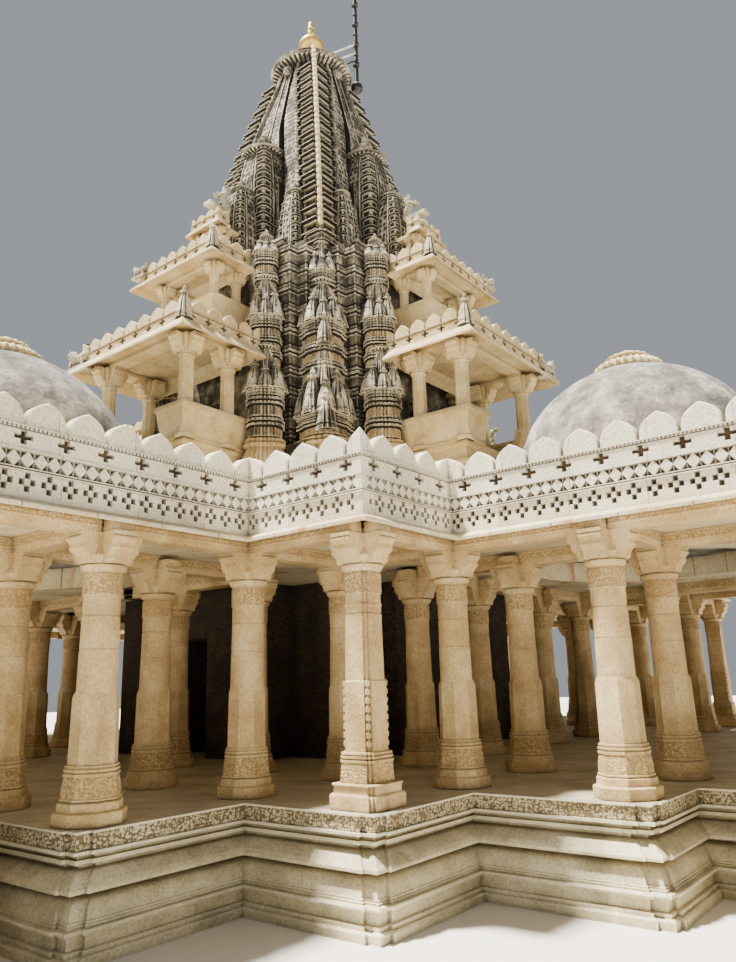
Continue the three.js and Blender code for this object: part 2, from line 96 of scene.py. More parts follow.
SIDES = ("east", "north", "west", "south")
CORNERS = ("east_north", "north_west", "west_south", "south_east")


# Materials

def linear(code):
    """An sRGB hex colour as a linear RGBA value."""
    channels = [int(code[i:i + 2], 16) / 255 for i in (1, 3, 5)]
    return [c / 12.92 if c <= 0.04045 else ((c + 0.055) / 1.055) ** 2.4 for c in channels] + [1.0]


def add_node(tree, kind, settings=(), links=()):
    """One node: settings by attribute or input, colour stops as (place, code) pairs, and links by input."""
    node = tree.nodes.new(kind)
    for key, value in dict(settings).items():
        if key == "stops":
            while len(node.color_ramp.elements) < len(value):
                node.color_ramp.elements.new(0.5)
            for element, (place, code) in zip(node.color_ramp.elements, value):
                element.position = place
                element.color = linear(code)
        elif isinstance(key, str) and hasattr(node, key):
            setattr(node, key, value)
        else:
            node.inputs[key].default_value = linear(value) if isinstance(value, str) else value
    for key, source in dict(links).items():
        tree.links.new(source, node.inputs[key])
    return node


def lumps(tree, place, size, detail=7.0, rough=0.62, stretch=(1, 1, 1)):
    """A cloudy value whose lumps are about size metres across."""
    room = add_node(tree, "ShaderNodeMapping", {"Scale": stretch}, {"Vector": place})
    cloud = add_node(tree, "ShaderNodeTexNoise", {"Scale": 1 / size, "Detail": detail, "Roughness": rough},
                     {"Vector": room.outputs[0]})
    return cloud.outputs[0]


def tones(tree, value, stops):
    """Colours along a value."""
    return add_node(tree, "ShaderNodeValToRGB", {"stops": stops}, {0: value}).outputs[0]


def lay_over(tree, under, over, mask, low, high, amount=1.0):
    """The colour over laid on under as the mask runs from low to high."""
    part = add_node(tree, "ShaderNodeMapRange",
                    {"interpolation_type": "SMOOTHSTEP", 1: low, 2: high, 4: amount}, {0: mask})
    links = {0: part.outputs[0], 6: under}
    settings = {"data_type": "RGBA"}
    if isinstance(over, str):
        settings[7] = over
    else:
        links[7] = over
    return add_node(tree, "ShaderNodeMix", settings, links).outputs[2]


def shade_by(tree, colour, over, amount):
    """The colour multiplied by another, as far as amount says."""
    return add_node(tree, "ShaderNodeMix", {"data_type": "RGBA", "blend_type": "MULTIPLY", 0: amount},
                    {6: colour, 7: over}).outputs[2]


def wall_place(tree, place):
    """Coordinates on upright walls that face along x or y: along the wall, then up."""
    apart = add_node(tree, "ShaderNodeSeparateXYZ", links={0: place}).outputs
    along = add_node(tree, "ShaderNodeMath", {"operation": "ADD"}, {0: apart[0], 1: apart[1]})
    return add_node(tree, "ShaderNodeCombineXYZ", links={0: along.outputs[0], 1: apart[2]}).outputs[0]


def scrolls(tree, place):
    """Scroll and leaf carving in lumps of 40 mm: height of the relief, 1 on its ridges."""
    drift = add_node(tree, "ShaderNodeTexNoise", {"Scale": 1 / 0.10, "Detail": 2.0}, {"Vector": place})
    shift = add_node(tree, "ShaderNodeVectorMath", {"operation": "SCALE", "Scale": 0.06},
                     {0: drift.outputs[1]})
    bent = add_node(tree, "ShaderNodeVectorMath", {"operation": "ADD"}, {0: place, 1: shift.outputs[0]})
    cells = add_node(tree, "ShaderNodeTexVoronoi", {"feature": "F1", "Scale": 1 / 0.04, "Randomness": 0.7},
                     {"Vector": bent.outputs[0]})
    return add_node(tree, "ShaderNodeMapRange", {1: 0.60, 2: 0.34}, {0: cells.outputs[0]}).outputs[0]


def net(tree, place):
    """Net of small arched motifs, 150 mm by 190 mm, with a hole in each: 0 in the holes, 1 on the net."""
    along = wall_place(tree, place)
    room = add_node(tree, "ShaderNodeMapping", {"Scale": (1 / 0.15, 1 / 0.19, 1)}, {"Vector": along})
    cells = add_node(tree, "ShaderNodeTexVoronoi", {"feature": "F1", "voronoi_dimensions": "2D", "Scale": 1.0,
                                                    "Randomness": 0.4}, {"Vector": room.outputs[0]})
    return add_node(tree, "ShaderNodeMapRange", {1: 0.30, 2: 0.42}, {0: cells.outputs[0]}).outputs[0]


def new_material(name):
    """A material with its node tree, its shader and the place on the piece."""
    material = bpy.data.materials.new(name)
    material.use_nodes = True
    tree = material.node_tree
    place = add_node(tree, "ShaderNodeTexCoord").outputs["Object"]
    return material, tree, tree.nodes["Principled BSDF"], place


def stone(name, body, stain, stain_reach, roughness=0.85, grit=0.012, relief=0.02, soot_and_shade="#3a3226",
          soot_and_shade_reach=0.25, soot_and_shade_amount=0.6, carving=None, carving_depth=0.02, holes="#1a1612", blocks=None,
          edge=None, speckle=("#8f897c", 0.5)):
    """Dressed stone: body colours in lumps of 0.6 m, stains in streaks of 1.4 m, grit, sooty painted shade in
    the hollows, paler edges, worn and painted highlight, and carving with painted shade in its hollows or the
    tone and joints of blocks where asked."""
    material, tree, shader, place = new_material(name)
    colour = tones(tree, lumps(tree, place, 0.6), body)
    if blocks:
        long, high, joint = blocks
        courses_map = add_node(tree, "ShaderNodeTexBrick", {
            "Scale": 1.0, "Mortar Size": joint, "Mortar Smooth": 0.3, "Brick Width": long, "Row Height": high,
            "Color1": "#d8d8d8", "Color2": "#ffffff", "Mortar": "#4a4438", "Bias": 0.1,
        }, {"Vector": wall_place(tree, place)})
        colour = shade_by(tree, colour, courses_map.outputs[0], 0.75)
    streaks = lumps(tree, place, 1.4, stretch=(1.6, 1.6, 0.5))
    colour = lay_over(tree, colour, stain, streaks, stain_reach[0], stain_reach[1])
    grains = lumps(tree, place, grit * 3, 5.0, 0.75)
    specks = tones(tree, grains, ((0.36, speckle[0]), (0.56, "#ffffff")))
    colour = shade_by(tree, colour, specks, speckle[1])
    height = add_node(tree, "ShaderNodeMath", {"operation": "MULTIPLY", 1: relief},
                      {0: lumps(tree, place, grit * 6, 8.0, 0.7)}).outputs[0]
    if carving:
        shape = carving(tree, place)
        # The carving's hollows take the holes colour: painted shade
        colour = lay_over(tree, colour, holes, shape, 0.45, 0.0, 0.92)
        height = add_node(tree, "ShaderNodeMath", {"operation": "MULTIPLY_ADD", 1: carving_depth},
                          {0: shape, 2: height}).outputs[0]
    if edge:
        # Paler colour on thin convex edges: wear and painted highlight
        thin = add_node(tree, "ShaderNodeAmbientOcclusion", {"samples": 4, "inside": True, "Distance": 0.04})
        colour = lay_over(tree, colour, edge, thin.outputs["AO"], 0.85, 0.4, 0.6)
    # Darker colour in the hollows that ambient occlusion finds: sooty stain and painted shade
    hollow_shade = add_node(tree, "ShaderNodeAmbientOcclusion", {"samples": 4, "Distance": soot_and_shade_reach})
    colour = lay_over(tree, colour, soot_and_shade, hollow_shade.outputs["AO"], 0.8, 0.2, soot_and_shade_amount)
    tree.links.new(colour, shader.inputs["Base Color"])
    bump = add_node(tree, "ShaderNodeBump", {"Strength": 0.9, "Distance": 1.0}, {"Height": height})
    tree.links.new(bump.outputs[0], shader.inputs["Normal"])
    shader.inputs["Roughness"].default_value = roughness
    return material


OCHRE_TONES = ((0.25, "#a2875a"), (0.5, "#c6aa78"), (0.78, "#e0cca2"))
CREAM_TONES = ((0.25, "#eadfc2"), (0.55, "#f8f0da"), (0.8, "#fefae8"))
MARBLE_TONES = ((0.22, "#a09678"), (0.42, "#c6ba96"), (0.58, "#dfd2ae"), (0.8, "#f1e7cc"))

# Dressed sandstone of the parapets, rain-washed to cream, in slabs of 1.16 m
PALE_STONE = stone("sandstone_dressed_cream", CREAM_TONES, "#bcae8c", (0.56, 0.76), soot_and_shade="#4c4234",
                   soot_and_shade_reach=0.12, soot_and_shade_amount=0.75, blocks=(1.16, 4.0, 0.006))
# Sandstone of the piercings, painted dark ochre for their shade, with dirt
PIERCED_STONE = stone("sandstone_pierced_painted_shade", ((0.3, "#4a3722"), (0.7, "#6e5434")), "#2e2418", (0.4, 0.7),
                      soot_and_shade="#1c150d", soot_and_shade_amount=0.8)
# Sandstone of the columns, ochre, rubbed smooth by hands, with darker veins
COLUMN_STONE = stone("sandstone_rubbed_ochre", OCHRE_TONES, "#a08152", (0.52, 0.74), roughness=0.72,
                     soot_and_shade="#40331f", soot_and_shade_reach=0.16, soot_and_shade_amount=0.75)
# The same sandstone where it is carved with scrolls and leaves, its carved hollows painted darker as shade
SCROLL_STONE = stone("sandstone_scroll_carved", OCHRE_TONES, "#8f7146", (0.5, 0.8), roughness=0.8,
                     soot_and_shade="#2e2416", soot_and_shade_reach=0.08, soot_and_shade_amount=0.8, carving=scrolls, carving_depth=0.010,
                     holes="#9a7c4c")
# Plinth marble, grey-green and cream from block to block, with paler edges, worn and painted highlight
PLINTH_STONE = stone("marble_grey_green_worn", MARBLE_TONES, "#9a9474", (0.54, 0.74), roughness=0.7,
                     soot_and_shade="#5c4828", soot_and_shade_reach=0.12, soot_and_shade_amount=0.6, blocks=(2.1, 0.41, 0.0),
                     edge="#f6edd4")
# The same marble in the scroll-carved frieze under the floor's edge, its carved hollows painted dark as shade
FRIEZE_STONE = stone("marble_scroll_carved", MARBLE_TONES, "#a08a5c", (0.52, 0.72), roughness=0.8,
                     soot_and_shade="#1f1a10", soot_and_shade_reach=0.08, soot_and_shade_amount=0.85, carving=scrolls, carving_depth=0.02,
                     holes="#5c4c30")
# Floor slabs, pale and smooth from bare feet
FLOOR_STONE = stone("marble_floor_slabs", ((0.3, "#a89f88"), (0.7, "#cfc6ac")), "#8a826c", (0.5, 0.75),
                    roughness=0.55, relief=0.004, soot_and_shade_amount=0.3, blocks=(0.9, 0.9, 0.008))
# Eaves and roof slabs, cream above with orange lichen, water-stained
EAVE_STONE = stone("sandstone_eave_lichened", ((0.25, "#cfb98c"), (0.5, "#e8d8b2"), (0.8, "#f2e8cc")),
                   "#c08a4e", (0.56, 0.7), soot_and_shade="#3a2f1e", soot_and_shade_reach=0.3, soot_and_shade_amount=0.6,
                   blocks=(1.0, 8.0, 0.012))
# Tower stone, deeply carved: sooty black mottling, sooty painted shade in the hollows, grey lichen, washed
# cream edges with painted highlight
SOOTY_TONES = ((0.36, "#2e2b27"), (0.46, "#6e685d"), (0.55, "#a89f8c"), (0.70, "#ddd2b8"))
TOWER_STONE = stone("tower_stone_weathered", SOOTY_TONES, "#a07c50", (0.64, 0.74), roughness=0.95, grit=0.045,
                    relief=0.05, soot_and_shade="#0a0907", soot_and_shade_reach=0.35, soot_and_shade_amount=1.0, edge="#ece2c8",
                    speckle=("#1e1b17", 0.85))
# Tower stone cut into a net of small arches, grey and speckled, its holes painted black for their shade
NET_STONE = stone("tower_stone_net_carved", ((0.38, "#47433c"), (0.48, "#8a8273"), (0.62, "#cfc5ae")),
                  "#6a655c", (0.56, 0.78), roughness=0.95, grit=0.03, relief=0.03, soot_and_shade="#0e0c0a",
                  soot_and_shade_reach=0.25, soot_and_shade_amount=0.95, carving=net, carving_depth=0.05, holes="#0e0c0a",
                  speckle=("#26231e", 0.8))
# Walls of the spirelet stacks, scaled to fresh ochre between the fillets
STACK_STONE = stone("tower_stone_ochre_scaled", ((0.3, "#6a6052"), (0.5, "#a88f68"), (0.72, "#d6c4a0")),
                    "#4c463e", (0.5, 0.62), roughness=0.9, grit=0.02, relief=0.03, soot_and_shade="#0e0b08",
                    soot_and_shade_reach=0.25, soot_and_shade_amount=1.0, edge="#ece0c0", speckle=("#3a2e20", 0.8))
# Black stone at the bottom of the grooves, in niches and under ledges, where rain never washes: sooty, and
# painted shade
SHADE_AND_SOOT_STONE = stone("tower_stone_soot_and_painted_shade", ((0.3, "#15120f"), (0.7, "#2e2a25")), "#3c372f", (0.6, 0.8),
                   roughness=1.0, grit=0.03, relief=0.04, soot_and_shade="#060504", soot_and_shade_reach=0.2)
# Sooty stone of the recessed piers, black walls painted as their shade, with paler fillets
PIER_STONE = stone("tower_stone_piers_sooty_painted_shade", ((0.38, "#26221d"), (0.5, "#5a5347"), (0.64, "#9a907a")),
                   "#17130f", (0.5, 0.7), roughness=1.0, grit=0.03, relief=0.04, soot_and_shade="#060504",
                   soot_and_shade_reach=0.3, soot_and_shade_amount=1.0, edge="#cfc4a6")
# Inner walls, carved all over, painted brown-black for the shade of the halls
INNER_STONE = stone("sandstone_inner_painted_shade", ((0.3, "#3a2d1f"), (0.7, "#5e4a34")), "#2a2017", (0.5, 0.75),
                    roughness=0.9, soot_and_shade="#0c0906", soot_and_shade_reach=0.6, carving=scrolls, carving_depth=0.03,
                    holes="#1c150e")
# Smooth stone of the balconies, cream with ochre shade
PORCH_STONE = stone("sandstone_balcony_smooth", ((0.25, "#b39a6c"), (0.5, "#d2bd90"), (0.8, "#eadcbc")),
                    "#b08c58", (0.58, 0.76), soot_and_shade="#463722", soot_and_shade_reach=0.25, soot_and_shade_amount=0.75)
# Stone of the lions, grey with lichen, sooty and painted shade underneath
STATUE_STONE = stone("sandstone_lions_weathered", ((0.35, "#7d7666"), (0.5, "#b8ae96"), (0.7, "#e4dabd")),
                     "#5e584c", (0.55, 0.75), roughness=0.95, grit=0.02, relief=0.04, soot_and_shade="#1c1814",
                     soot_and_shade_reach=0.2, soot_and_shade_amount=0.9)
# Lime plaster of the domes, rough cast, speckled grey with lichen
DOME_PLASTER = stone("lime_plaster_roughcast", ((0.38, "#5c5850"), (0.48, "#85817a"), (0.62, "#b4afa4")),
                     "#6b675f", (0.45, 0.7), roughness=0.95, grit=0.03, relief=0.05, soot_and_shade="#3a3833",
                     soot_and_shade_amount=0.4)


def metal(name, code, roughness, metallic):
    """A metal with smudges of rain dirt about 80 mm across."""
    material, tree, shader, place = new_material(name)
    colour = tones(tree, lumps(tree, place, 0.3), ((0.3, code), (0.7, code)))
    colour = lay_over(tree, colour, "#4a3a22", lumps(tree, place, 0.08), 0.45, 0.8, 0.6)
    tree.links.new(colour, shader.inputs["Base Color"])
    shader.inputs["Roughness"].default_value = roughness
    shader.inputs["Metallic"].default_value = metallic
    return material


# Gilded copper of the finial, warm and dulled by rain
GILT = metal("copper_gilded_dulled", "#d6b566", 0.45, 0.6)
# Painted iron of the flagpole, nearly black
PAINTED_IRON = metal("iron_painted_black", "#26262a", 0.5, 0.3)
# Painted iron of the pole's brackets, off-white
WHITE_IRON = metal("iron_painted_white", "#dcdad2", 0.5, 0.0)


# Mesh helpers

def of_kind(geometry, kind):
    """The vertices, edges or faces among what an operator made."""
    return [g for g in geometry if isinstance(g, kind)]


def paint(faces, finish):
    """Gives the faces the finish of that slot."""
    for face in faces:
        face.material_index = finish


def first_ring(bm, points):
    """A closed chain of edges through the points: its vertices and edges."""
    verts = [bm.verts.new(point) for point in points]
    return verts, [bm.edges.new(pair) for pair in zip(verts, verts[1:] + verts[:1])]


def next_ring(bm, edges, points):
    """Extrudes a closed chain of edges to new points: the new vertices and edges."""
    grown = bmesh.ops.extrude_edge_only(bm, edges=edges)["geom"]
    verts = of_kind(grown, bmesh.types.BMVert)
    for vert, point in zip(verts, points):
        vert.co = point
    return verts, of_kind(grown, bmesh.types.BMEdge)


def loft(bm, rings, finish=0, along=None):
    """Skins closed rings of points one after the other, closes the ends, and returns the faces by course.
    The finish is one slot for all, or along gives one for each side of the outline."""
    part = bmesh.new()
    verts, edges = first_ring(part, rings[0])
    part.faces.new(verts[::-1])
    by_course = []
    for ring in rings[1:]:
        verts, edges = next_ring(part, edges, ring)
        by_course.append([edge.link_faces[0] for edge in edges])
    part.faces.new(verts)
    paint(part.faces, finish)
    if along:
        for faces in by_course:
            for face, slot in zip(faces, along):
                face.material_index = slot
    bmesh.ops.recalc_face_normals(part, faces=part.faces)
    part.faces.index_update()
    places = [[face.index for face in faces] for faces in by_course]
    first = len(bm.faces)
    put_into(bm, part)
    return [[bm.faces[first + place] for place in course] for course in places]


def put_into(bm, part):
    """Adds a finished part to the mesh under work; kept apart till then, it is quick to shape."""
    mesh = bpy.data.meshes.new("part")
    part.to_mesh(mesh)
    part.free()
    bm.from_mesh(mesh)
    bpy.data.meshes.remove(mesh)
    bm.faces.ensure_lookup_table()


def mitre(points):
    """For each corner of a closed anticlockwise outline, the move that offsets both its sides by 1."""
    moves = []
    for i, point in enumerate(points):
        before = Vector(point) - Vector(points[i - 1])
        after = Vector(points[(i + 1) % len(points)]) - Vector(point)
        first = Vector((before.y, -before.x)).normalized()
        second = Vector((after.y, -after.x)).normalized()
        moves.append((first + second) / (1 + first.dot(second)))
    return moves


def courses(outline, profile, centre=(0, 0)):
    """Rings of a moulded run: profile entries are (offset, z), the offset square to every side."""
    moves = mitre(outline)
    return [[(centre[0] + x + move.x * out, centre[1] + y + move.y * out, z)
             for (x, y), move in zip(outline, moves)] for out, z in profile]


def tapered(outline, profile, centre=(0, 0)):
    """Rings of a scaled outline: profile entries are (scale, z)."""
    return [[(centre[0] + x * scale, centre[1] + y * scale, z) for x, y in outline] for scale, z in profile]


def polygon(sides, radius=1.0):
    """A regular outline; radius is the distance to its flats."""
    out = radius / math.cos(math.pi / sides)
    angles = [2 * math.pi * (i + 0.5) / sides for i in range(sides)]
    return [(out * math.cos(a), out * math.sin(a)) for a in angles]


def lobed(count, depth):
    """A round outline of unit radius with count lobes, cut in by depth between them."""
    angles = [math.pi * i / count for i in range(2 * count)]
    radii = [1.0 if i % 2 == 0 else 1.0 - depth for i in range(2 * count)]
    return [(r * math.cos(a), r * math.sin(a)) for r, a in zip(radii, angles)]


def rectangle(x0, x1, y0, y1):
    """An anticlockwise rectangle."""
    return [(x0, y0), (x1, y0), (x1, y1), (x0, y1)]


def block(bm, x0, x1, y0, y1, z0, z1, finish=0):
    """A squared block with its edges eased."""
    ease = min(0.012, (z1 - z0) / 4)
    profile = ((-ease, z0), (0, z0 + ease), (0, z1 - ease), (-ease, z1))
    return loft(bm, courses(rectangle(x0, x1, y0, y1), profile), finish)


def redented(outline, reach, depth):
    """The outline with each outer corner set back by depth, over reach along both its sides."""
    fresh = []
    for i, point in enumerate(outline):
        here = Vector(point)
        into = (here - Vector(outline[i - 1])).normalized()
        away = (Vector(outline[(i + 1) % len(outline)]) - here).normalized()
        if into.x * away.y - into.y * away.x <= 0:
            fresh.append(point)
            continue
        back_in = Vector((-into.y, into.x)) * depth
        back_out = Vector((-away.y, away.x)) * depth
        start = here - into * reach
        end = here + away * reach
        fresh += [tuple(p) for p in (start, start + back_in, here + back_in + back_out, end + back_out, end)]
    return fresh


def four_sided(side):
    """A closed outline from one side's (along, out) points, repeated on four sides."""
    outline = []
    for turn in range(4):
        c, s = ((1, 0), (0, 1), (-1, 0), (0, -1))[turn]
        outline += [(out * c - along * s, out * s + along * c) for along, out in side]
    return outline


def mirrored(half_side):
    """A symmetrical side from its right half, listed from the corner inwards."""
    return [(-along, out) for along, out in half_side] + half_side[::-1]


def finish_mesh(bm, name, materials, sharp=32):
    """Turns a mesh under work into an object at the origin, smooth but for its sharp edges."""
    mesh = bpy.data.meshes.new(name)
    bm.to_mesh(mesh)
    bm.free()
    used = sorted({face.material_index for face in mesh.polygons})
    for index in used:
        mesh.materials.append(materials[index])
    for face in mesh.polygons:
        face.material_index = used.index(face.material_index)
        face.use_smooth = True
    mesh.set_sharp_from_angle(angle=math.radians(sharp))
    piece = bpy.data.objects.new(name, mesh)
    bpy.context.scene.collection.objects.link(piece)
    return piece


def dress(piece, slot, *nodes):
    """Rides the piece on the one body, and hides the solids that it stands for; slot is not used."""
    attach(piece, "root")
    if nodes:
        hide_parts(*nodes)
    return piece


def turned_copy(bm, matrix):
    """A copy of a mesh under work, put by a matrix, with its faces still pointing out."""
    fresh = bm.copy()
    bmesh.ops.transform(fresh, matrix=matrix, verts=fresh.verts)
    if matrix.determinant() < 0:
        bmesh.ops.reverse_faces(fresh, faces=fresh.faces)
    return fresh


def quarter(index):
    """That many quarter turns about the tower's axis."""
    return Matrix.Rotation(index * math.pi / 2, 4, "Z")


# From the left half of an arm to its right half
ACROSS = Matrix.Diagonal((1, -1, 1, 1))


def four_pieces(bm, stem, names, materials, slot, node):
    """The four like pieces round the tower's axis; node is the name of the solid that each stands for."""
    for index, name in enumerate(names):
        piece = finish_mesh(turned_copy(bm, quarter(index)), f"{stem}_{name}_carved", materials)
        dress(piece, slot, node.format(name))
    bm.free()


# Plinth: one moulded run round the whole stepped plan

PLINTH_LINE = 0.35


def plinth_outline():
    """The plinth's plan at PLINTH_LINE beyond the columns, with a recess in each side of every arm."""
    b = PLINTH_LINE
    core, arm, bay, end, recess = LINE_CORE + b, LINE_ARM + b, LINE_BAY + b, LINE_END, RECESS_INNER + b
    one = [
        (core, -arm), (bay, -arm), (bay, -recess), (end - b, -recess), (end - b, -arm), (end + b, -arm),
        (end + b, arm), (end - b, arm), (end - b, recess), (bay, recess), (bay, arm), (core, arm),
        (core, core),
    ]
    return [tuple((quarter(index) @ Vector((x, y, 0))).xy) for index in range(4) for x, y in one]


# Distance beyond the column line and height below the floor, from the ground up
PLINTH_PROFILE = (
    (0.72, -1.37), (0.72, -1.27), (0.70, -1.25), (0.66, -1.245), (0.66, -1.20), (0.61, -1.19),
    (0.61, -1.06), (0.66, -1.05), (0.66, -1.03), (0.69, -1.025), (0.70, -1.005), (0.69, -0.985),
    (0.62, -0.98), (0.62, -0.955), (0.60, -0.95), (0.60, -0.925), (0.585, -0.92), (0.57, -0.85),
    (0.53, -0.78), (0.47, -0.72), (0.43, -0.705), (0.38, -0.70), (0.38, -0.65), (0.60, -0.645),
    (0.62, -0.63), (0.62, -0.60), (0.59, -0.56), (0.52, -0.50), (0.45, -0.45), (0.40, -0.425),
    (0.36, -0.42), (0.36, -0.365), (0.47, -0.36), (0.47, -0.315), (0.42, -0.31), (0.42, -0.255),
    (0.53, -0.25), (0.53, -0.215), (0.495, -0.21), (0.495, -0.03), (0.52, -0.02), (0.52, 0.0),
)
FRIEZE_FROM = -0.21
FRIEZE_TO = -0.03
CORNER_REACH = 0.25
CORNER_DEPTH = 0.05


def make_plinth():
    """The moulded run with its carved frieze, and the floor on it."""
    bm = bmesh.new()
    outline = redented(plinth_outline(), CORNER_REACH, CORNER_DEPTH)
    profile = [(out - PLINTH_LINE, FLOOR + z) for out, z in PLINTH_PROFILE]
    by_course = loft(bm, courses(outline, profile))
    for (_, z), faces in zip(PLINTH_PROFILE, by_course):
        if FRIEZE_FROM - 0.001 < z < FRIEZE_TO - 0.001:
            paint(faces, 1)
    level = [face for face in bm.faces if face.normal.z > 0.9]
    paint([face for face in level if face.calc_center_median().z > FLOOR - 0.001], 2)
    piece = finish_mesh(bm, "plinth_moulded", (PLINTH_STONE, FRIEZE_STONE, FLOOR_STONE))
    dress(piece, "plinth_stone", "plinth_core", *[f"plinth_{side}" for side in SIDES])


# Columns and beams

# Section of a rolled bracket arm: reach from the column's axis and height above the floor
BRACKET_TOP = 3.602
BRACKET_PROFILE = (
    (0.0, 3.19), (0.28, 3.19), (0.315, 3.205), (0.33, 3.235), (0.33, 3.265), (0.345, 3.30), (0.375, 3.335),
    (0.41, 3.36), (0.425, 3.39), (0.415, 3.42), (0.42, 3.45), (0.45, 3.48), (0.475, 3.50), (0.475, 3.525),
    (0.455, 3.53), (0.455, 3.545), (0.475, 3.55), (0.475, BRACKET_TOP), (0.0, BRACKET_TOP),
)
BRACKET_HALF = 0.17
# Blocks over the arms, under the eaves
BLOCK_REACH = 0.40
BLOCK_HALF = BRACKET_HALF - 0.02
BLOCK_FOOT = 3.59
BLOCK_TOP = 3.77


def bracket_arms(bm, x, y, scale, lift):
    """Four rolled arms of a bracket capital; lift brings its levels to those of the column."""
    for turn in range(4):
        rings = [[Vector((x, y, lift + z * scale)) + quarter(turn) @ (Vector((reach, side, 0)) * scale)
                  for reach, z in BRACKET_PROFILE] for side in (-BRACKET_HALF, BRACKET_HALF)]
        loft(bm, rings)


# Sections of the columns: distance from the axis to the flats and height above the floor
OCTAGON_FOOT = (
    (0.41, 0.0), (0.42, 0.01), (0.42, 0.15), (0.405, 0.165), (0.372, 0.172), (0.368, 0.18), (0.368, 0.265),
    (0.35, 0.275), (0.335, 0.285), (0.35, 0.292), (0.35, 0.31), (0.335, 0.318), (0.33, 0.45),
    (0.308, 0.562), (0.322, 0.568), (0.322, 0.60), (0.302, 0.606), (0.302, 0.618), (0.318, 0.624),
    (0.318, 0.65), (0.298, 0.656), (0.298, 0.668), (0.308, 0.675), (0.305, 0.695), (0.282, 0.70),
    (0.272, 1.50), (0.245, 1.57),
)
ROUND_UPPER = (
    (0.25, 1.52), (0.25, 1.60), (0.245, 2.09), (0.236, 2.095), (0.236, 2.105), (0.243, 2.11),
    (0.238, 2.515), (0.228, 2.52), (0.228, 2.532), (0.236, 2.537), (0.238, 2.65), (0.236, 2.775),
    (0.252, 2.79), (0.252, 3.055), (0.238, 3.065), (0.238, 3.10),
)
NECK_RING = (
    (0.245, 3.085), (0.262, 3.095), (0.285, 3.125), (0.295, 3.15), (0.295, 3.17), (0.27, 3.182),
    (0.265, 3.20),
)
HEAD_BLOCK = (
    (0.265, 3.18), (0.27, 3.20), (0.29, 3.24), (0.31, 3.29), (0.30, 3.32), (0.27, 3.35), (0.25, 3.42),
    (0.25, BRACKET_TOP),
)
# The corner column is square: distance beyond SQUARE_HALF, and height
SQUARE_HALF = 0.20
SQUARE_COURSES = (
    (0.18, 0.0), (0.19, 0.01), (0.19, 0.17), (0.185, 0.18), (0.155, 0.20), (0.15, 0.205), (0.15, 0.29),
    (0.165, 0.297), (0.165, 0.312), (0.15, 0.32), (0.088, 0.325), (0.08, 0.45), (0.075, 0.575),
    (0.085, 0.58), (0.085, 0.605), (0.06, 0.61), (0.06, 0.622), (0.08, 0.628), (0.08, 0.655), (0.06, 0.66),
    (0.06, 0.67), (0.075, 0.675), (0.07, 0.70), (0.04, 0.71), (0.035, 0.75), (0.033, 1.60), (0.02, 1.62),
    (0.01, 2.50), (-0.002, 2.505), (-0.002, 2.515), (0.008, 2.52), (0.008, 2.60), (0.016, 2.61),
    (0.016, 2.635), (0.006, 2.645), (0.006, 2.775), (0.018, 2.785), (0.018, 3.055), (0.004, 3.065),
    (0.004, 3.10),
)
# Levels of the scroll-carved bands, from and to
CARVED_LEVELS = ((0.317, 0.57), (2.785, 3.06))


def carve_bands(by_course, profile, finish):
    """Gives the carved courses of a column their finish."""
    for (_, z), faces in zip(profile, by_course):
        if any(low <= z < high - 0.02 for low, high in CARVED_LEVELS):
            paint(faces, finish)


def raised(profile):
    """The profile with its heights taken from the floor."""
    return [(out, FLOOR + z) for out, z in profile]


def column_head(bm, x, y):
    """Neck ring, round dish, four bracket arms, and blocks that carry the eaves."""
    loft(bm, tapered(polygon(16), raised(NECK_RING), (x, y)))
    loft(bm, tapered(polygon(16), raised(HEAD_BLOCK), (x, y)))
    bracket_arms(bm, x, y, 1.0, FLOOR)
    for along, across in ((BLOCK_REACH, BLOCK_HALF), (BLOCK_HALF, BLOCK_REACH)):
        block(bm, x - along, x + along, y - across, y + across, FLOOR + BLOCK_FOOT, FLOOR + BLOCK_TOP)


def octagonal_column(bm, x, y):
    """Eight-sided foot and lower shaft, a round upper shaft, a neck ring and four bracket arms."""
    carve_bands(loft(bm, tapered(polygon(8), raised(OCTAGON_FOOT), (x, y))), OCTAGON_FOOT, 1)
    carve_bands(loft(bm, tapered(polygon(12), raised(ROUND_UPPER), (x, y))), ROUND_UPPER, 1)
    column_head(bm, x, y)


BEADS_FROM = 0.76
BEADS_TO = 1.60
BEAD_PITCH = 0.11
BEAD_PLACE = SQUARE_HALF - 0.01
BEAD_UNIT = ((0.012, 0.0), (0.034, 0.015), (0.036, 0.075), (0.018, 0.085), (0.026, 0.098))


def square_column(bm, x, y):
    """The corner column: square, its corners stepped, with a string of carved beads up each corner."""
    outline = redented(rectangle(-SQUARE_HALF, SQUARE_HALF, -SQUARE_HALF, SQUARE_HALF), 0.07, 0.032)
    carve_bands(loft(bm, courses(outline, raised(SQUARE_COURSES), (x, y))), SQUARE_COURSES, 1)
    column_head(bm, x, y)
    count = round((BEADS_TO - BEADS_FROM) / BEAD_PITCH)
    profile = raised([(out, BEADS_FROM + i * BEAD_PITCH + z) for i in range(count) for out, z in BEAD_UNIT])
    for sx, sy in ((1, 1), (-1, 1), (-1, -1), (1, -1)):
        loft(bm, tapered(polygon(8), profile, (x + sx * BEAD_PLACE, y + sy * BEAD_PLACE)))


BEAM_COURSES = (
    (-0.03, 3.58), (0.0, 3.59), (0.0, 3.665), (0.02, 3.675), (0.02, 3.695), (0.01, 3.70), (0.01, 3.80),
    (0.03, 3.81), (0.03, 3.86),
)
BEAM_FRIEZE = 5
BEAM_HALF = 0.16


def beam(bm, x0, x1, y0, y1):
    """A moulded beam between two column places, with a scroll-carved frieze."""
    h = BEAM_HALF
    by_course = loft(bm, courses(rectangle(x0 - h, x1 + h, y0 - h, y1 + h), raised(BEAM_COURSES)))
    paint(by_course[BEAM_FRIEZE], 1)


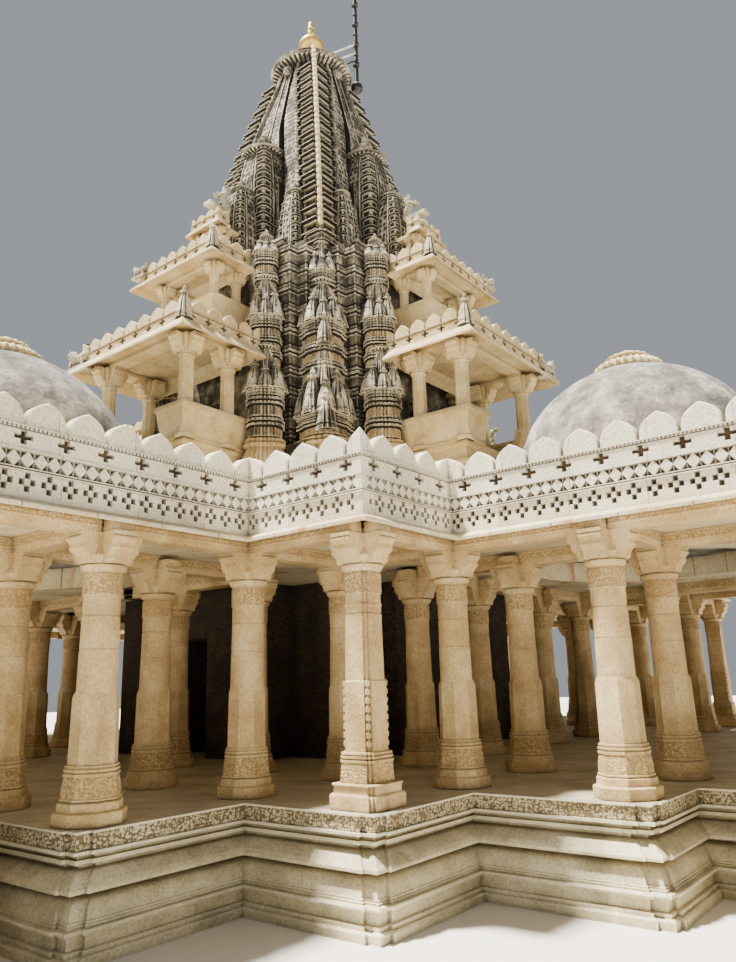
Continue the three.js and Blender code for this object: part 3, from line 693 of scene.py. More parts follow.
def make_colonnades():
    """The columns and beams of one corner bay, and of both halves of one arm."""
    corner = bmesh.new()
    for x in (LINE_ARM, LINE_CORE):
        for y in (LINE_ARM, LINE_CORE):
            if x == y == LINE_CORE:
                square_column(corner, x, y)
            else:
                octagonal_column(corner, x, y)
        beam(corner, LINE_ARM, LINE_CORE, x, x)
        beam(corner, x, x, LINE_ARM, LINE_CORE)
    finishes = (COLUMN_STONE, SCROLL_STONE)
    four_pieces(corner, "corner_colonnade", CORNERS, finishes, "column_stone", "corner_colonnade_{}")
    arm = bmesh.new()
    for x, y in ((LINE_ARM, LINE_DOOR), (LINE_ARM, LINE_INNER), (LINE_CORE, LINE_INNER),
                 (LINE_BAY, LINE_INNER), (LINE_END, LINE_INNER), (LINE_BAY, LINE_ARM), (LINE_END, LINE_ARM),
                 (LINE_END, LINE_DOOR)):
        octagonal_column(arm, x, y)
    beam(arm, LINE_ARM, LINE_END, LINE_INNER, LINE_INNER)
    beam(arm, LINE_ARM, LINE_ARM, 0, LINE_INNER)
    beam(arm, LINE_BAY, LINE_BAY, LINE_INNER, LINE_ARM)
    beam(arm, LINE_END, LINE_END, 0, LINE_ARM)
    beam(arm, LINE_CORE, LINE_END, LINE_ARM, LINE_ARM)
    right = turned_copy(arm, ACROSS)
    four_pieces(arm, "colonnade_left", SIDES, finishes, "column_stone", "colonnade_{}_left")
    four_pieces(right, "colonnade_right", SIDES, finishes, "column_stone", "colonnade_{}_right")


# Parapets, built face by face in a frame of (along, up, out)

def face_frame(start, end):
    """The matrix of a wall face from start to end, with its outside on the right hand."""
    along = (Vector(end) - Vector(start)).normalized()
    rows = ((along.x, 0, along.y, start[0]), (along.y, 0, -along.x, start[1]), (0, 1, 0, 0), (0, 0, 0, 1))
    return Matrix(rows)


def panel(bm, frame, across, up, cells, out, thick):
    """A slab on a wall face whose front is a grid of cells; returns the cells by (column, row)."""
    (x0, x1), (y0, y1), (columns, rows) = across, up, cells
    part = bmesh.new()
    shape = Matrix.Translation(((x0 + x1) / 2, (y0 + y1) / 2, out))
    shape @= Matrix.Diagonal(((x1 - x0) / 2, (y1 - y0) / 2, 1, 1))
    bmesh.ops.create_grid(part, x_segments=columns, y_segments=rows, size=1.0, matrix=shape)
    grown = bmesh.ops.extrude_edge_only(part, edges=[edge for edge in part.edges if edge.is_boundary])["geom"]
    bmesh.ops.translate(part, vec=(0, 0, -thick), verts=of_kind(grown, bmesh.types.BMVert))
    bmesh.ops.edgeloop_fill(part, edges=of_kind(grown, bmesh.types.BMEdge))
    bmesh.ops.recalc_face_normals(part, faces=part.faces)
    part.faces.index_update()
    places = {}
    for face in part.faces:
        at = face.calc_center_median()
        if abs(at.z - out) < thick / 9:
            places[int((at.x - x0) / (x1 - x0) * columns), int((at.y - y0) / (y1 - y0) * rows)] = face.index
    bmesh.ops.transform(part, matrix=frame, verts=part.verts)
    first = len(bm.faces)
    put_into(bm, part)
    return {place: bm.faces[first + index] for place, index in places.items()}


def strip(bm, frame, length, up, out, turns, finish=0):
    """A straight fillet on a wall face, mitred to the next one at each end by that corner's turn."""
    rings = []
    for z in out:
        corners = rectangle(-z * turns[0], length + z * turns[1], *up)
        rings.append([frame @ Vector((x, y, z)) for x, y in corners])
    loft(bm, rings, finish)


def sink(bm, faces, rim, depth, finish):
    """Cuts pockets of that depth where the faces are, and gives their floors a finish."""
    bmesh.ops.inset_region(bm, faces=faces, thickness=rim, depth=-depth, use_boundary=True,
                           use_even_offset=True)
    paint(faces, finish)


MERLON_STEPS = 8
MERLON_CURVE = 3.6
MERLON_THICKNESS = 0.42


def merlon(bm, frame, at, size, width, foot, side, turn):
    """One leaf-shaped merlon with a pointed tip: whole, or a half mitred to its neighbour at a corner."""
    parts = [i / MERLON_STEPS for i in range(MERLON_STEPS + 1)]
    shape = [(width / 2 * (1 - part ** MERLON_CURVE), size * part) for part in parts]
    right = shape if side >= 0 else [(0, 0), (0, size)]
    left = shape if side <= 0 else [(0, 0), (0, size)]
    outline = right + [(-x, y) for x, y in reversed(left) if x > 0 or (y == 0 and side > 0)]
    outline = list(dict.fromkeys((round(x, 5), round(y, 5)) for x, y in outline))
    rings = []
    for out, shrink in ((0.0, 0.94), (-0.05 * size, 1.0), (-MERLON_THICKNESS * size, 1.0)):
        mitred = -side * out * turn
        rings.append([frame @ Vector((at + (x * shrink if x else mitred), foot + y * shrink, out))
                      for x, y in outline])
    loft(bm, rings)


# Bands of a parapet, from and to above its foot, and the cells of their patterns for each merlon
PARAPET_BANDS = {
    "foot": (0.0, 0.33), "groove": (0.33, 0.385), "lattice": (0.385, 0.60), "fillet": (0.60, 0.625),
    "crosses": (0.625, 0.87), "line": (0.87, 0.885), "dentils": (0.885, 0.93),
}
MERLON_RISE = 0.385
MERLON_WIDTH = 0.54
FOOT_CELLS = 8
FOOT_ROWS = 4
DIAMOND = ((0, 2), (1, 1), (1, 3), (2, 2))
LATTICE_CELL = 0.18
CROSS_CELLS = 7
CROSS_ROWS = 4
CROSS = ((3, 1), (2, 2), (3, 2), (4, 2), (3, 3))
DENTIL_CELLS = 20


def lattice(bm, frame, across, up, scale):
    """A band of square cells, each with a lozenge standing between four sunk corners."""
    count = max(1, round((across[1] - across[0]) / (LATTICE_CELL * scale)))
    cells = panel(bm, frame, across, up, (2 * count, 2), 0.035 * scale, 0.1 * scale)
    back = frame.inverted()
    wide, high = (across[1] - across[0]) / (2 * count), (up[1] - up[0]) / 2

    def in_cells(point):
        at = back @ point
        return (at.x - across[0]) / wide, (at.y - up[0]) / high

    middles = []
    for vert in dict.fromkeys(vert for face in cells.values() for vert in face.verts):
        column, row = in_cells(vert.co)
        if (round(column) + round(row)) % 2:
            middles.append(vert)
    cut = bmesh.ops.connect_verts(bm, verts=middles)["edges"]
    corners = []
    for face in dict.fromkeys(face for edge in cut for face in edge.link_faces):
        u, v = in_cells(face.calc_center_median())
        if abs(u / 2 - round(u / 2)) + abs(v / 2 - round(v / 2)) < 0.5:
            corners.append(face)
    bmesh.ops.inset_individual(bm, faces=corners, thickness=0.011 * scale, depth=-0.035 * scale,
                               use_even_offset=True)
    # The sunk corners get the dark stone: painted shade
    paint(corners, 1)


def parapet_face(bm, start, end, foot, turns, scale=1.0, whole=True):
    """One face of a parapet: pierced foot band, lattice, crosses, dentils and merlons; only the last three
    unless whole. Turns say how the wall goes on: 1 round an outer corner, -1 an inner one, 0 at its end."""
    frame = face_frame(start, end)
    length = (Vector(end) - Vector(start)).length
    bays = max(1, round(length / (MERLON_PITCH * scale)))
    bay = length / bays
    bands = {name: (foot + low * scale, foot + high * scale) for name, (low, high) in PARAPET_BANDS.items()}

    def wide(out):
        return -(out * scale - 0.002) * turns[0], length + (out * scale - 0.002) * turns[1]

    def fillet(low, high, out):
        strip(bm, frame, length, (low, high), (-0.08 * scale, (out - 0.006) * scale, out * scale), turns)

    first = "foot" if whole else "crosses"
    strip(bm, frame, length, (bands[first][0], bands["dentils"][1]), (-0.30 * scale, -0.06 * scale), turns)
    if whole:
        # The foot band's sunk diamonds get the dark stone: painted shade
        cells = panel(bm, frame, wide(0.06), bands["foot"], (bays * FOOT_CELLS, FOOT_ROWS), 0.06, 0.16)
        for i in range(2 * bays):
            for column, row in DIAMOND:
                sink(bm, [cells[4 * i + column, row]], 0.008, 0.05, 1)
        low, high = bands["groove"]
        fillet(low, low + 0.016, 0.09)
        fillet(high - 0.014, high, 0.065)
        lattice(bm, frame, wide(0.035), bands["lattice"], scale)
        fillet(*bands["fillet"], 0.05)
    # The sunk crosses get the dark stone: painted shade
    cells = panel(bm, frame, wide(0.02), bands["crosses"], (bays * CROSS_CELLS, CROSS_ROWS), 0.02 * scale,
                  0.1 * scale)
    for i in range(bays):
        cross = [cells[CROSS_CELLS * i + column, row] for column, row in CROSS]
        sink(bm, cross, 0.006 * scale, 0.06 * scale, 1)
    # A recessed line in the dark stone: painted shade
    strip(bm, frame, length, bands["line"], (-0.08 * scale, -0.01 * scale), turns, 1)
    low, high = bands["dentils"]
    fillet(high - 0.013 * scale, high, 0.045)
    cells = panel(bm, frame, wide(0.005), (low, high - 0.012 * scale), (bays * DENTIL_CELLS, 1),
                  0.005 * scale, 0.06 * scale)
    blocks = [face for (column, _), face in cells.items() if column % 2 == 0]
    grown = bmesh.ops.extrude_discrete_faces(bm, faces=blocks)["faces"]
    moved = list(dict.fromkeys(vert for face in grown for vert in face.verts))
    bmesh.ops.translate(bm, vec=frame.to_3x3() @ Vector((0, 0, 0.03 * scale)), verts=moved)
    for i in range(bays + 1):
        side, turn = {0: (1, turns[0]), bays: (-1, turns[1])}.get(i, (0, 0))
        merlon(bm, frame, bay * i, MERLON_RISE * scale, MERLON_WIDTH / MERLON_PITCH * bay, high, side, turn)


CORE_OUT, ARM_OUT, END_OUT = LINE_CORE + PARAPET_LINE, LINE_ARM + PARAPET_LINE, LINE_END + PARAPET_LINE
# Corners of a quarter of the roof's edge, on the face of the parapets
ROOF_QUARTER = (
    (CORE_OUT, -ARM_OUT), (END_OUT, -ARM_OUT), (END_OUT, ARM_OUT), (CORE_OUT, ARM_OUT), (CORE_OUT, CORE_OUT),
)


def make_parapets():
    """A quarter of the parapet run: round one arm, then round the core's corner to the next arm."""
    bm = bmesh.new()
    corners = ROOF_QUARTER + ((ARM_OUT, CORE_OUT),)
    bends = (-1, 1, 1, -1, 1, -1)
    for i in range(len(corners) - 1):
        parapet_face(bm, corners[i], corners[i + 1], BAND_FOOT, bends[i:i + 2])
    # The flat cells between the patterns are merged
    bmesh.ops.dissolve_limit(bm, angle_limit=0.002, verts=bm.verts[:], edges=bm.edges[:],
                             delimit={"MATERIAL"})
    four_pieces(bm, "parapet", SIDES, (PALE_STONE, PIERCED_STONE), "parapet_stone", "parapet_{}")


# Roof: thin sloping eaves all round, and slabs that are open under the domes

# Distance beyond the parapet's wall and height above the floor, round the eave's section
EAVE_SECTION = (
    (-0.10, 3.90), (-0.02, 3.885), (0.10, 3.86), (0.26, 3.81), (0.335, 3.77), (0.35, 3.755), (0.35, 3.715),
    (0.335, 3.705), (0.20, 3.735), (0.05, 3.78), (-0.10, 3.81),
)
DOME_OPENING = 2.50


def make_roof():
    """The eaves, and the slab under the roof with a round opening below each dome."""
    outline = [tuple((quarter(index) @ Vector((x, y, 0))).xy) for index in range(4) for x, y in ROOF_QUARTER]
    bm = bmesh.new()
    rings = courses(outline, raised(EAVE_SECTION))
    first = edges = first_ring(bm, rings[0])[1]
    for ring in rings[1:]:
        edges = next_ring(bm, edges, ring)[1]
    bmesh.ops.bridge_loops(bm, edges=first + edges)
    slab = bmesh.new()
    rims = first_ring(slab, courses(outline, ((-0.05, SLAB_BOTTOM),))[0])[1]
    for index in range(4):
        centre = quarter(index) @ Vector((DOME_CENTRE, 0, 0))
        rims += first_ring(slab, tapered(polygon(48, DOME_OPENING), ((1, SLAB_BOTTOM),), centre)[0])[1]
    bmesh.ops.triangle_fill(slab, use_beauty=True, edges=rims)
    lifted = bmesh.ops.extrude_face_region(slab, geom=list(slab.faces))["geom"]
    bmesh.ops.translate(slab, vec=(0, 0, ROOF - SLAB_BOTTOM), verts=of_kind(lifted, bmesh.types.BMVert))
    bmesh.ops.recalc_face_normals(slab, faces=slab.faces)
    put_into(bm, slab)
    bmesh.ops.recalc_face_normals(bm, faces=bm.faces)
    piece = finish_mesh(bm, "roof_eaves", (EAVE_STONE,))
    dress(piece, "parapet_stone", "roof_core", *[f"roof_{side}" for side in SIDES])


# Domes

# Sections of the drum and of the two rings of lotus petals: radius, and height above each one's foot
DRUM = (
    (2.88, 0.0), (2.90, 0.05), (2.90, 0.9), (2.93, 0.92), (2.93, 1.0), (2.90, 1.03), (2.90, 1.28),
    (2.84, 1.32),
)
DOME_STEPS = 22
LOTUS_FOOT = DRUM_TOP + DOME_RADIUS - 0.12
PETALS = ((0.68, 0.0), (0.79, 0.05), (0.81, 0.12), (0.77, 0.20), (0.66, 0.27), (0.50, 0.32), (0.36, 0.34))
UPPER_PETALS = (
    (0.34, 0.32), (0.50, 0.35), (0.52, 0.41), (0.42, 0.47), (0.24, 0.50), (0.14, 0.53), (0.18, 0.56),
    (0.12, 0.60), (0.02, 0.65),
)


def make_domes():
    """A plastered dome on a moulded drum, with a ribbed lotus cap."""
    bm = bmesh.new()
    centre = (DOME_CENTRE, 0)
    profile = [(radius, ROOF + z) for radius, z in DRUM]
    for i in range(DOME_STEPS - 1):
        angle = math.pi / 2 * i / DOME_STEPS
        profile.append((DOME_RADIUS * math.cos(angle), DRUM_TOP + DOME_RADIUS * math.sin(angle)))
    loft(bm, tapered(polygon(72), profile, centre))
    for petals, lobes, depth in ((PETALS, 28, 0.10), (UPPER_PETALS, 20, 0.08)):
        loft(bm, tapered(lobed(lobes, depth), [(radius, LOTUS_FOOT + z) for radius, z in petals], centre), 1)
    four_pieces(bm, "dome", SIDES, (DOME_PLASTER, PORCH_STONE), "dome_plaster", "dome_{}")


# Tower

def spire_half(z):
    """Half width of the main spire at a height."""
    part = max(0.0, (z - SPIRE_FOOT) / (SPIRE_TOP - SPIRE_FOOT))
    return SPIRE_TOP_HALF + (SPIRE_FOOT_HALF - SPIRE_TOP_HALF) * (1 - part ** SPIRE_CURVE)


# Finishes of the tower's pieces, in the order of their slots
TOWER_FINISHES = (TOWER_STONE, STACK_STONE, NET_STONE, SHADE_AND_SOOT_STONE, PIER_STONE, PORCH_STONE)
WEATHERED, OCHRE, NETTED, SOOTY_SHADE, PIER, CREAM = range(6)

# Half of one side of each plan, from the corner inwards, for a half width of 1, and the finish of each
# edge: b for the body, n for the net, s for the sooty stone painted as shade in the grooves
CORNER_SIDE = (
    (0.86, 0.86), (0.66, 0.86), (0.66, 0.78), (0.59, 0.94), (0.42, 0.94), (0.42, 0.84), (0.33, 1.04),
)
CORNER_EDGES = "bssbssb"
STEPPED_SIDE = (
    (0.68, 0.68), (0.55, 0.68), (0.55, 0.84), (0.47, 0.84), (0.47, 0.75), (0.41, 0.92), (0.28, 0.92),
    (0.28, 0.83), (0.21, 1.04),
)
STEPPED_EDGES = "bbbssbssb"
HALF_SIDE = ((0.60, 0.92), (0.47, 0.92), (0.47, 1.0), (0.40, 1.0), (0.40, 0.88), (0.33, 0.88), (0.33, 1.0))
HALF_EDGES = "sbbsssn"
PIER_SIDE = ((1.0, 1.0), (0.55, 0.96), (0.47, 1.03))
PIER_EDGES = "bsb"
# Small spires, and those whose half width is no more than TINY_HALF
SMALL_KIND = (((0.92, 0.92), (0.45, 0.92), (0.45, 1.14)), "bsb")
TINY_KIND = (((0.88, 0.88), (0.42, 1.10)), "bb")
TINY_HALF = 0.13


def plan(side, edges, body, dark=SOOTY_SHADE, shared=True):
    """A four-sided outline and the finish of its every edge; shared where two sides meet in one point."""
    slots = [{"b": body, "n": NETTED, "s": dark}[code] for code in edges]
    half, middle = slots[:-1], slots[-1:]
    if shared:
        return four_sided(mirrored(list(side))[1:]), (half[1:] + middle + half[::-1] + half[:1]) * 4
    return four_sided(mirrored(list(side))), (half + middle + half[::-1] + half[:1]) * 4


# One unit of a shelf: part of its height, and reach beyond the corner's line for a width of 1
SHELF_UNIT = (
    (0.00, 0.00), (0.06, -0.05), (0.54, -0.05), (0.58, 0.01), (0.62, -0.08), (0.69, -0.08), (0.75, 0.10),
    (0.80, 0.10), (0.86, -0.08),
)
# Courses under and behind the cornices, painted sooty black as shade
SHELF_DARK = (3, 4, 5, 8)
NICHE_COURSE = 1
SHELF_SIDE = ((0.86, 0.86), (0.60, 0.86), (0.60, 1.0))
# Points of the shelf's plan on one side, and which of its edges the niche is cut in
SHELF_POINTS = 2 * len(SHELF_SIDE) - 1
NICHE_EDGE = 1
ALL_SIGNS = ((1, 1), (1, -1), (-1, 1), (-1, -1))


def shelf_band(bm, centre, half_at, foot, top, pitch, width, signs, hold, ochre_to=0.0):
    """Stacked units up one corner of a spire, each a block with a niche under a strong cornice; niche and
    undersides are painted sooty black as shade.
    Its width narrows with the spire's half width, except for the part that hold keeps."""
    count = max(2, round((top - foot) / pitch))
    step = (top - foot) / count
    outline = plan(SHELF_SIDE, "bbb", WEATHERED)[0]
    rings = []
    for i in range(count):
        for part, out in SHELF_UNIT:
            z = foot + step * (i + part)
            w = width / 2 * (hold + (1 - hold) * half_at(z) / half_at(foot))
            place = half_at(z) - w
            at = (centre[0] + signs[0] * place, centre[1] + signs[1] * place)
            rings.append(tapered(outline, ((w + out * width, z),), at)[0])
    by_course = loft(bm, rings)
    turns = (0 if signs[0] > 0 else 2, 1 if signs[1] > 0 else 3)
    niches = []
    for i, faces in enumerate(by_course):
        unit, course = divmod(i, len(SHELF_UNIT))
        if foot + step * unit < ochre_to:
            paint(faces, OCHRE)
        if course == NICHE_COURSE:
            niches += [faces[SHELF_POINTS * turn + NICHE_EDGE] for turn in turns]
        if course in SHELF_DARK:
            paint(faces, SOOTY_SHADE)
    bmesh.ops.inset_individual(bm, faces=niches, thickness=0.02 * width, depth=-0.14 * width,
                               use_even_offset=True)
    paint(niches, SOOTY_SHADE)


# Sections for a radius of 1: the ribbed underside of a disc, and the discs and pot over it
DISC_UNDER = ((0.62, -0.16), (0.68, -0.13), (0.97, -0.01), (0.97, 0.03))
DISC_UPPER = (
    (0.95, 0.0), (1.03, 0.01), (1.03, 0.08), (0.9, 0.13), (0.52, 0.26), (0.50, 0.34), (0.62, 0.38),
    (0.62, 0.45), (0.40, 0.55), (0.2, 0.60), (0.34, 0.78), (0.32, 0.94), (0.13, 1.06), (0.18, 1.12),
    (0.03, 1.5),
)


def disc_cap(bm, centre, radius, z, lobes):
    """A thin disc with a ribbed underside whose grooves are painted sooty black as shade, a smaller disc over
    it, and a pot with a pointed tip.
    """
    under, upper = [[(radius * r, z + radius * h) for r, h in part] for part in (DISC_UNDER, DISC_UPPER)]
    loft(bm, tapered(lobed(lobes, 0.08), under, centre), WEATHERED, [SOOTY_SHADE, WEATHERED] * lobes)
    loft(bm, tapered(polygon(12), upper, centre), WEATHERED)


# Sections of a small spire: part of its half width, and part of its rise
SPIRE_BODY = (
    (1.12, 0.0), (1.12, 0.07), (0.88, 0.10), (1.06, 0.15), (0.95, 0.20), (0.88, 0.34), (0.72, 0.51),
    (0.36, 0.74),
)
SPIRE_TIP = ((0.32, 0.72), (0.66, 0.76), (0.62, 0.80), (0.24, 0.83), (0.36, 0.88), (0.04, 1.0))


def little_spire(bm, x, y, half, foot, top, dark=SOOTY_SHADE):
    """A miniature spire: fillets, a bell-curved ribbed body, a small disc and a tip."""
    outline, slots = plan(*(SMALL_KIND if half > TINY_HALF else TINY_KIND), WEATHERED, dark)
    body, tip = [[(s * half, foot + part * (top - foot)) for s, part in section]
                 for section in (SPIRE_BODY, SPIRE_TIP)]
    loft(bm, tapered(outline, body, (x, y)), WEATHERED, slots)
    loft(bm, tapered(polygon(6), tip, (x, y)), WEATHERED)


BEAD = ((0.0, 0.6), (0.14, 1.0), (0.74, 0.9), (0.88, 0.6))


def bead_string(bm, along, foot, top, size, pitch, finish=WEATHERED):
    """A string of beads from foot to top; along gives its place at a height."""
    count = round((top - foot) / pitch)
    rings = []
    for i in range(count):
        for part, r in BEAD:
            z = foot + (top - foot) / count * (i + part)
            rings.append(tapered(polygon(6), ((size * r, z),), along(z))[0])
    loft(bm, rings, finish)


# Storeys of the stacks: half width, wall foot, eave and disc above the floor, and step forward
CORNER_STOREYS = (
    (0.55, 7.45, 8.02, 9.86, 0.15), (0.47, 9.05, 10.66, 11.90, -0.05), (0.35, 11.5, 12.26, 13.16, -0.20),
)
SIDE_STOREYS = (
    (0.46, 7.45, 8.72, 9.90, 0.12), (0.41, 9.5, 10.84, 12.02, -0.08), (0.32, 11.7, 12.84, 13.36, -0.20),
)
# One unit of a storey's wall, about WALL_PITCH high: part of its height, and part of the half width;
# then the courses painted sooty black as the shade under the fillets, and the pale fillets
WALL_PITCH = 0.45
WALL_UNIT = (
    (0.0, 0.94), (0.38, 0.94), (0.44, 0.85), (0.48, 1.06), (0.58, 1.07), (0.63, 0.87), (0.69, 1.08),
    (0.80, 1.08), (0.85, 0.87), (0.90, 1.01), (0.98, 1.01),
)
WALL_DARK = (2, 5, 8)
WALL_FILLETS = (1, 3, 4, 6, 7, 9)
# The drip under a crown: part of the half width, and height from the eave
DRIP_RISE = 0.16
DRIP = ((0.95, -DRIP_RISE), (1.05, -0.14), (1.08, -0.10), (0.98, -0.09), (1.09, -0.04), (1.12, 0.0))
# The bell curve of a crown: its foot and top as parts of the half width, its steps and power
CROWN_FOOT = 0.74
CROWN_TOP = 0.33
CROWN_STEPS = 6
CROWN_POWER = 1.25
# Little spires on a crown: place across and out, size, and top as a part of the crown's rise
NESTED = ((0.78, 0.0, 0.37, 0.67), (0.68, 0.68, 0.33, 0.50), (1.0, 0.0, 0.26, 0.34))


def storey(bm, x, y, kind, half, foot, eave, top):
    """A wall ringed with fillets, a flaring drip, a ribbed crown and the little spires that cling to it."""
    side, edges, corner = kind
    count = max(1, round((eave - foot - DRIP_RISE) / WALL_PITCH))
    step = (eave - foot - DRIP_RISE) / count
    wall = [(s * half, foot + step * (i + part)) for i in range(count) for part, s in WALL_UNIT]
    wall += [(s * half, eave + z) for s, z in DRIP]
    outline, slots = plan(side, edges.replace("s", "b"), OCHRE)
    for i, faces in enumerate(loft(bm, tapered(outline, wall, (x, y)), OCHRE, slots)):
        course = i % len(WALL_UNIT)
        if course in WALL_DARK:
            paint(faces, SOOTY_SHADE)
        elif i >= count * len(WALL_UNIT) or course in WALL_FILLETS:
            paint(faces, WEATHERED)
    outline, slots = plan(side, edges, WEATHERED)
    crown = [(1.08 * half, eave - 0.01)]
    for i in range(CROWN_STEPS + 1):
        part = i / CROWN_STEPS
        size = CROWN_FOOT - (CROWN_FOOT - CROWN_TOP) * part ** CROWN_POWER
        crown.append((size * half, eave + 0.03 + (top - eave - 0.07) * part))
    loft(bm, tapered(outline, crown, (x, y)), WEATHERED, slots)
    disc_cap(bm, (x, y), 0.56 * half, top, 14)
    places = {(sx * a, sy * b, size, part) for across, out, size, part in NESTED
              for a, b in ((across, out), (out, across)) for sx in (1, -1) for sy in (1, -1)}
    for dx, dy, size, part in sorted(places):
        if dx + dy > -0.05:
            reach = half * (corner if abs(dx) > 0.45 and abs(dy) > 0.3 else 1.0)
            tip = eave + (top - eave) * part
            little_spire(bm, x + dx * reach, y + dy * reach, half * size, eave - 0.04, tip)


# A stack's foot and the moulding on it: part of the half width, and height above the floor
STACK_FOOT = ((1.26, ROOF - FLOOR), (1.26, 6.88), (1.22, 7.02), (1.12, 7.14), (1.06, 7.20))
STACK_MOULD = (
    (1.04, 7.19), (1.20, 7.23), (1.24, 7.30), (1.06, 7.34), (1.16, 7.38), (1.16, 7.42), (1.02, 7.46),
)


def stack(bm, x, y, kind, storeys):
    """A stack of three spirelets over a moulded, spreading foot."""
    side, edges, _ = kind
    half = storeys[0][0]
    outline = plan(side, edges, CREAM)[0]
    for profile in (STACK_FOOT, STACK_MOULD):
        loft(bm, tapered(outline, raised([(s * half, z) for s, z in profile]), (x, y)), CREAM)
    for width, low, eave, top, step in storeys:
        storey(bm, x + step, y + step, kind, width, FLOOR + low, FLOOR + eave, FLOOR + top)


# One unit of a pier, as of a wall; its courses painted sooty black as shade, and those that are pale below
# WASHED_FROM too
PIER_PITCH = 0.56
PIER_UNIT = (
    (0.0, 0.96), (0.36, 0.98), (0.38, 1.13), (0.45, 1.13), (0.48, 0.92), (0.54, 1.20), (0.66, 1.22),
    (0.70, 0.90), (0.76, 1.08), (0.86, 1.08), (0.90, 0.92),
)
PIER_DARK = (4, 7, 10)
PIER_PALE = (2, 5, 8)
PIER_HALF = 0.27
PIER_FOOT = FLOOR + 7.25
PIER_TOP = FLOOR + 13.1
WASHED_FROM = FLOOR + 10.6


def fillet_pier(bm, x, y):
    """A narrow recessed pier between two stacks: sooty, painted black for its shade, ringed with pale
    fillets.
    """
    count = round((PIER_TOP - PIER_FOOT) / PIER_PITCH)
    step = (PIER_TOP - PIER_FOOT) / count
    profile = [(PIER_HALF * s, PIER_FOOT + step * (i + part)) for i in range(count) for part, s in PIER_UNIT]
    outline, slots = plan(PIER_SIDE, PIER_EDGES, PIER)
    for i, faces in enumerate(loft(bm, tapered(outline, profile, (x, y)), PIER, slots)):
        course = i % len(PIER_UNIT)
        washed = profile[i][1] > WASHED_FROM or course in PIER_PALE
        paint(faces, SOOTY_SHADE if course in PIER_DARK else WEATHERED if washed else PIER)


# Plan, edges and the reach of the small spires at the corners, for the two kinds of stack
CORNER_KIND = (CORNER_SIDE, CORNER_EDGES, 1.0)
SIDE_KIND = (STEPPED_SIDE, STEPPED_EDGES, 0.84)
CORNER_PLACE = 3.10
SIDE_OUT = 4.10
SIDE_ACROSS = 2.00
# Small spires before the corner stack: place along the diagonal, half width, foot and top above the floor
FRONT_SPIRES = ((3.70, 0.19, 7.48, 8.58), (3.50, 0.15, 9.86, 10.78))
PIER_PLACES = ((3.42, 2.20), (2.20, 3.42), (3.10, 2.50), (2.50, 3.10))
# The core behind the stacks, painted dark as its shade: two blocks from one inner corner out to these
CORE_FROM = 1.95
CORE_CORNERS = ((3.9, 3.1), (3.1, 3.9))
CORE_TOP = FLOOR + 7.3


def make_spirelets():
    """The stacks at one corner of the tower, with piers and a core between them painted dark as shade."""
    bm = bmesh.new()
    stack(bm, CORNER_PLACE, CORNER_PLACE, CORNER_KIND, CORNER_STOREYS)
    for place, half, foot, top in FRONT_SPIRES:
        little_spire(bm, place, place, half, FLOOR + foot, FLOOR + top)
    for x, y in ((SIDE_OUT, SIDE_ACROSS), (SIDE_ACROSS, SIDE_OUT)):
        stack(bm, x, y, SIDE_KIND, SIDE_STOREYS)
    for x, y in PIER_PLACES:
        fillet_pier(bm, x, y)
    for x, y in CORE_CORNERS:
        block(bm, CORE_FROM, x, CORE_FROM, y, ROOF, CORE_TOP, PIER)
    four_pieces(bm, "spirelets", CORNERS, TOWER_FINISHES, "tower_stone", "spirelets_{}")


HALF_SPIRE_STEPS = 14


def half_spire(bm, out, across, shape, foot, top, cap, shelf):
    """A half spire against the main one: net-carved body, shelves up its corners and a broad disc cap. The
    shape is its half width at the foot and the top and the power of its curve; shelf is width and pitch."""

    def half_at(z):
        return shape[0] + (shape[1] - shape[0]) * max(0.0, (z - foot) / (top - foot)) ** shape[2]

    heights = [foot + (top - foot) * i / HALF_SPIRE_STEPS for i in range(HALF_SPIRE_STEPS + 1)]
    outline, slots = plan(HALF_SIDE, HALF_EDGES, WEATHERED, shared=False)
    loft(bm, tapered(outline, [(half_at(z), z) for z in heights], (out, across)), NETTED, slots)
    for signs in ALL_SIGNS[:2]:
        shelf_band(bm, (out, across), half_at, foot, top - 0.03, shelf[1], shelf[0], signs, 0.5)
    disc_cap(bm, (out, across), cap, top + 0.08 * cap, 28)


# Half spires on a side: place out and across, shape, foot and top above the floor, cap radius, and shelf
HALF_SPIRES = (
    (2.26, 0, (0.79, 0.50, 5), 13.0, 17.60, 0.67, (0.42, 0.30)),
    (3.20, 0, (0.52, 0.30, 4), 13.1, 15.88, 0.36, (0.26, 0.24)),
    (2.56, 1.60, (0.36, 0.20, 3), 13.5, 15.5, 0.26, (0.20, 0.28)),
    (2.56, -1.60, (0.36, 0.20, 3), 13.5, 15.5, 0.26, (0.20, 0.28)),
)
# The stepped ledge that the side half spires stand on: distance beyond its plan, and height
LEDGE_COURSES = (
    (0.0, 13.42), (0.05, 13.44), (0.05, 13.52), (-0.06, 13.54), (-0.06, 13.60), (0.04, 13.62), (0.06, 13.70),
    (-0.05, 13.72), (-0.05, 13.78), (0.02, 13.80), (0.02, 13.88), (-0.03, 13.90),
)


def make_half_spires():
    """A tall half spire with a lower one before it, a small one on each side, and their ledge."""
    bm = bmesh.new()
    for out, across, shape, foot, top, cap, shelf in HALF_SPIRES:
        half_spire(bm, out, across, shape, FLOOR + foot, FLOOR + top, cap, shelf)
    loft(bm, courses(rectangle(2.0, 3.08, -1.60, 1.60), raised(LEDGE_COURSES)))
    four_pieces(bm, "half_spires", SIDES, TOWER_FINISHES, "tower_stone", "half_spires_{}")


# Shelves up the corners of the main spire, and a wider row of them round the head of the shaft
CORNER_SHELF_WIDTH = 0.80
CORNER_SHELF_PITCH = 0.45
SHELF_TOP = FLOOR + 21.45
SHAFT_SHELF_HALF = 3.03
BODY_TOP = FLOOR + 21.98
BODY_STEPS = 24
OCHRE_TOP = FLOOR + 15.2
